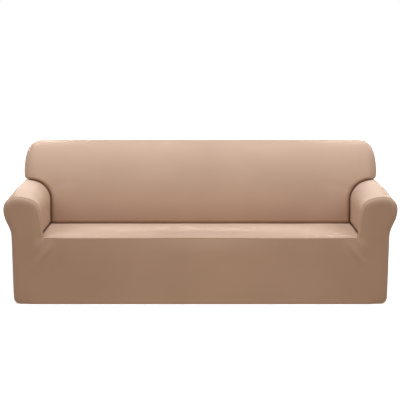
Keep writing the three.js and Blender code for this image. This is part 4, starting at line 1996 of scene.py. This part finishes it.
@dataclass(frozen=True)
class Studio:
    """A pale floor in front of a white backdrop, soft light and the camera."""

    floor_colour: str = "#F4F3F1"
    floor_roughness: float = 0.95
    floor_half: float = 16.0
    painted_shade_colour: str = "#3A2A20"  # painted shade: a dark sheet on the floor inside the cover, standing in for the shade there and seen through the cloth's gaps
    shade_half: Pair = (1.00, 0.40)
    shade_level: float = 0.001
    glow_near: float = 0.40  # the floor's own light around the cover, and far from it
    glow_far: float = 1.0
    glow_start: float = 1.2
    glow_end: float = 6.0
    backdrop_radius: float = 15.0
    backdrop_foot: float = -0.5
    backdrop_height: float = 12.0
    backdrop_sides: int = 48
    sky_strength: float = 0.462
    sky_colour: Triple = (1.0, 0.90, 0.83)
    camera_place: Triple = (0.0, -7.46, 1.660)
    camera_pitch: float = 8.5  # degrees down
    lens: float = 110.9
    shift: float = -0.001
    softboxes: tuple[Softbox, ...] = (
        Softbox("overhead", (0.0, -0.8, 4.2), (0.0, 0.0, 0.4), 3.0, 1.2, 108.0),
        Softbox("over_seat", (0.0, 0.0, 2.6), (0.0, 0.0, 0.4), 2.2, 0.4, 9.0),
        Softbox("seat_strip", (0.0, -0.17, 1.3), (0.0, -0.17, 0.4), 1.4, 0.1, 0.40, spread=18.0),
        Softbox("over_right_arm", (2.25, -0.45, 2.25), (1.06, -0.1, 0.5), 1.0, 1.0, 16.0),
        Softbox("over_left_arm", (-2.25, -0.45, 2.25), (-1.06, -0.1, 0.5), 1.0, 1.0, 16.0),
        Softbox("behind_right_arm", (1.4, 1.6, 1.9), (1.08, -0.3, 0.6), 0.4, 0.4, 2.4, spread=40.0),
        Softbox("behind_left_arm", (-1.4, 1.6, 1.9), (-1.08, -0.3, 0.6), 0.4, 0.4, 2.4, spread=40.0),
        Softbox("low_front", (0.0, -2.0, 0.15), (0.0, -0.46, 0.2), 0.8, 0.3, 2.6, spread=140.0,
                colour=(0.87, 0.85, 0.72)),
    )

    def build(self) -> None:
        """Makes the floor, the backdrop, the light and the camera."""
        self.floor()
        self.backdrop()
        self.sky()
        for softbox in self.softboxes:
            softbox.build()
        self.camera()
        bpy.context.scene.view_settings.view_transform = "Standard"

    @staticmethod
    def add(name: str, points: list, faces: list, material: bpy.types.Material) -> bpy.types.Object:
        """Adds a stage object.

        Args:
            name: its name.
            points: its corners.
            faces: its faces.
            material: its material.

        Returns:
            The object.
        """
        mesh = bpy.data.meshes.new(name)
        mesh.from_pydata(points, [], faces)
        mesh.materials.append(material)
        thing = bpy.data.objects.new(name, mesh)
        bpy.context.scene.collection.objects.link(thing)
        return thing

    @staticmethod
    def paper(name: str, colour: str, roughness: float) -> tuple[bpy.types.Material, bpy.types.Node]:
        """Makes a matt paper.

        Args:
            name: its name.
            colour: its colour.
            roughness: its roughness.

        Returns:
            The material and its shader.
        """
        material, tree = new_material(name)
        shader = tree.nodes["Principled BSDF"]
        shader.inputs["Base Color"].default_value = linear(colour)
        shader.inputs["Roughness"].default_value = roughness
        return material, shader

    def sheet(self, name: str, half: Sequence[float], level: float, material: bpy.types.Material) -> None:
        """Adds a level sheet of the given half width and half depth, which throws no light on the cover."""
        corners = [(x * half[0], y * half[1], level) for x, y in ((-1, -1), (1, -1), (1, 1), (-1, 1))]
        self.add(name, corners, [(0, 1, 2, 3)], material).visible_diffuse = False

    def floor(self) -> None:
        """Makes the floor: matt white paper, lit from below away from the cover, and a dark sheet of
        painted shade inside the cover.
        """
        white, shader = self.paper("matt_studio_paper", self.floor_colour, self.floor_roughness)
        tree = white.node_tree
        shader.inputs["Emission Color"].default_value = (1.0, 1.0, 1.0, 1.0)
        place = add_node(tree, "TexCoord", {})
        away = add_node(tree, "VectorMath", {"operation": "LENGTH", 0: place.outputs["Object"]})
        glow = add_node(tree, "MapRange", {
            "From Min": self.glow_start, "From Max": self.glow_end,
            "To Min": self.glow_near, "To Max": self.glow_far, "Value": away.outputs["Value"],
        })
        tree.links.new(glow.outputs["Result"], shader.inputs["Emission Strength"])
        self.sheet("studio_floor", (self.floor_half, self.floor_half), 0.0, white)
        # painted shade: a dark sheet under the cover, so that gaps in the cloth show shade and not the
        # white floor
        dark = self.paper("painted_shade_floor", self.painted_shade_colour, 1.0)[0]
        self.sheet("painted_shade_under_cover", self.shade_half, self.shade_level, dark)

    def backdrop(self) -> None:
        """Makes the backdrop: a white wall all around, which shines on nothing and shades nothing."""
        material, tree = new_material("bright_backdrop")
        tree.nodes.clear()
        glow = add_node(tree, "Emission", {"Strength": 1.0})
        add_node(tree, "OutputMaterial", {"Surface": glow.outputs["Emission"]})
        count, radius = self.backdrop_sides, self.backdrop_radius
        angles = np.linspace(0, math.tau, count, endpoint=False)
        ring = [(radius * math.cos(angle), radius * math.sin(angle)) for angle in angles]
        points = [(x, y, z) for z in (self.backdrop_foot, self.backdrop_height) for x, y in ring]
        faces = [(i, (i + 1) % count, (i + 1) % count + count, i + count) for i in range(count)]
        wall = self.add("studio_backdrop", points, faces, material)
        wall.visible_diffuse = wall.visible_glossy = wall.visible_shadow = False

    def sky(self) -> None:
        """Lights the scene faintly and evenly from all around."""
        world = bpy.data.worlds.new("studio")
        world.use_nodes = True
        background = world.node_tree.nodes["Background"]
        background.inputs["Color"].default_value = (*self.sky_colour, 1.0)
        background.inputs["Strength"].default_value = self.sky_strength
        bpy.context.scene.world = world

    def camera(self) -> None:
        """Adds the camera, in front of the cover and looking a little down."""
        data = bpy.data.cameras.new("camera")
        data.lens = self.lens
        data.shift_x = self.shift
        camera = bpy.data.objects.new("camera", data)
        camera.location = self.camera_place
        camera.rotation_euler = (math.radians(90 - self.camera_pitch), 0, 0)
        bpy.context.scene.collection.objects.link(camera)
        bpy.context.scene.camera = camera


# ---------------- the cover


class SofaCover:
    """The whole cover: its forms, the lines where its panels meet, and the panels."""

    def __init__(self) -> None:
        """Reads the sizes that the frame gives and lays out the forms."""
        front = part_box("front_panel")[0][1]
        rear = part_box("outside_back")[1][1]
        seat_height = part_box("seat_panel")[1][2]
        arm_box, back_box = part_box("arm_right"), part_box("inside_back")
        self.arm = ArmShape(front, rear, seat_height, arm_box[1][0], arm_box[1][2])
        half_width, seam_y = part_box("back_end_right")[1][0], self.arm.back_seam_y
        self.back = BackShape(BACK_FOOT_Y, rear, seat_height, back_box[1][2], half_width, seam_y)
        self.seat = SeatShape(front, BACK_FOOT_Y, seat_height, SEAT_SEAM_HEIGHT)
        self.joins = Joins(self.arm, self.back, EndSeam())
        self.panels: dict[str, Panel] = {
            "front_skirt_and_facings": FrontPanel(self.arm, self.seat),
            "seat_cloth": SeatPanel(self.seat, self.arm),
            "inside_back_cloth": InsideBack(self.back, self.joins),
            "outside_back_cloth": OutsideBack(self.arm, self.back, self.joins),
            "right_arm_cloth": ArmPanel(1, self.arm, self.joins),
            "left_arm_cloth": ArmPanel(-1, self.arm, self.joins),
            "right_back_gusset": BackEnd(1, self.back, self.joins),
            "left_back_gusset": BackEnd(-1, self.back, self.joins),
        }

    def build(self, finish: bpy.types.Material) -> None:
        """Args:
            finish: the cloth's material.
        """
        for name, panel in self.panels.items():
            piece = panel.build(name)
            piece.data.materials.append(finish)
            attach(piece, "root")
            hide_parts(panel.node)
            LOG.info("%s: %d faces", name, len(piece.data.polygons))


def main() -> None:
    """Builds the cover and its studio."""
    logging.basicConfig(level=logging.INFO, format="%(message)s")
    SofaCover().build(StretchKnit().material())
    Studio().build()


if __name__ == "__main__":
    main()
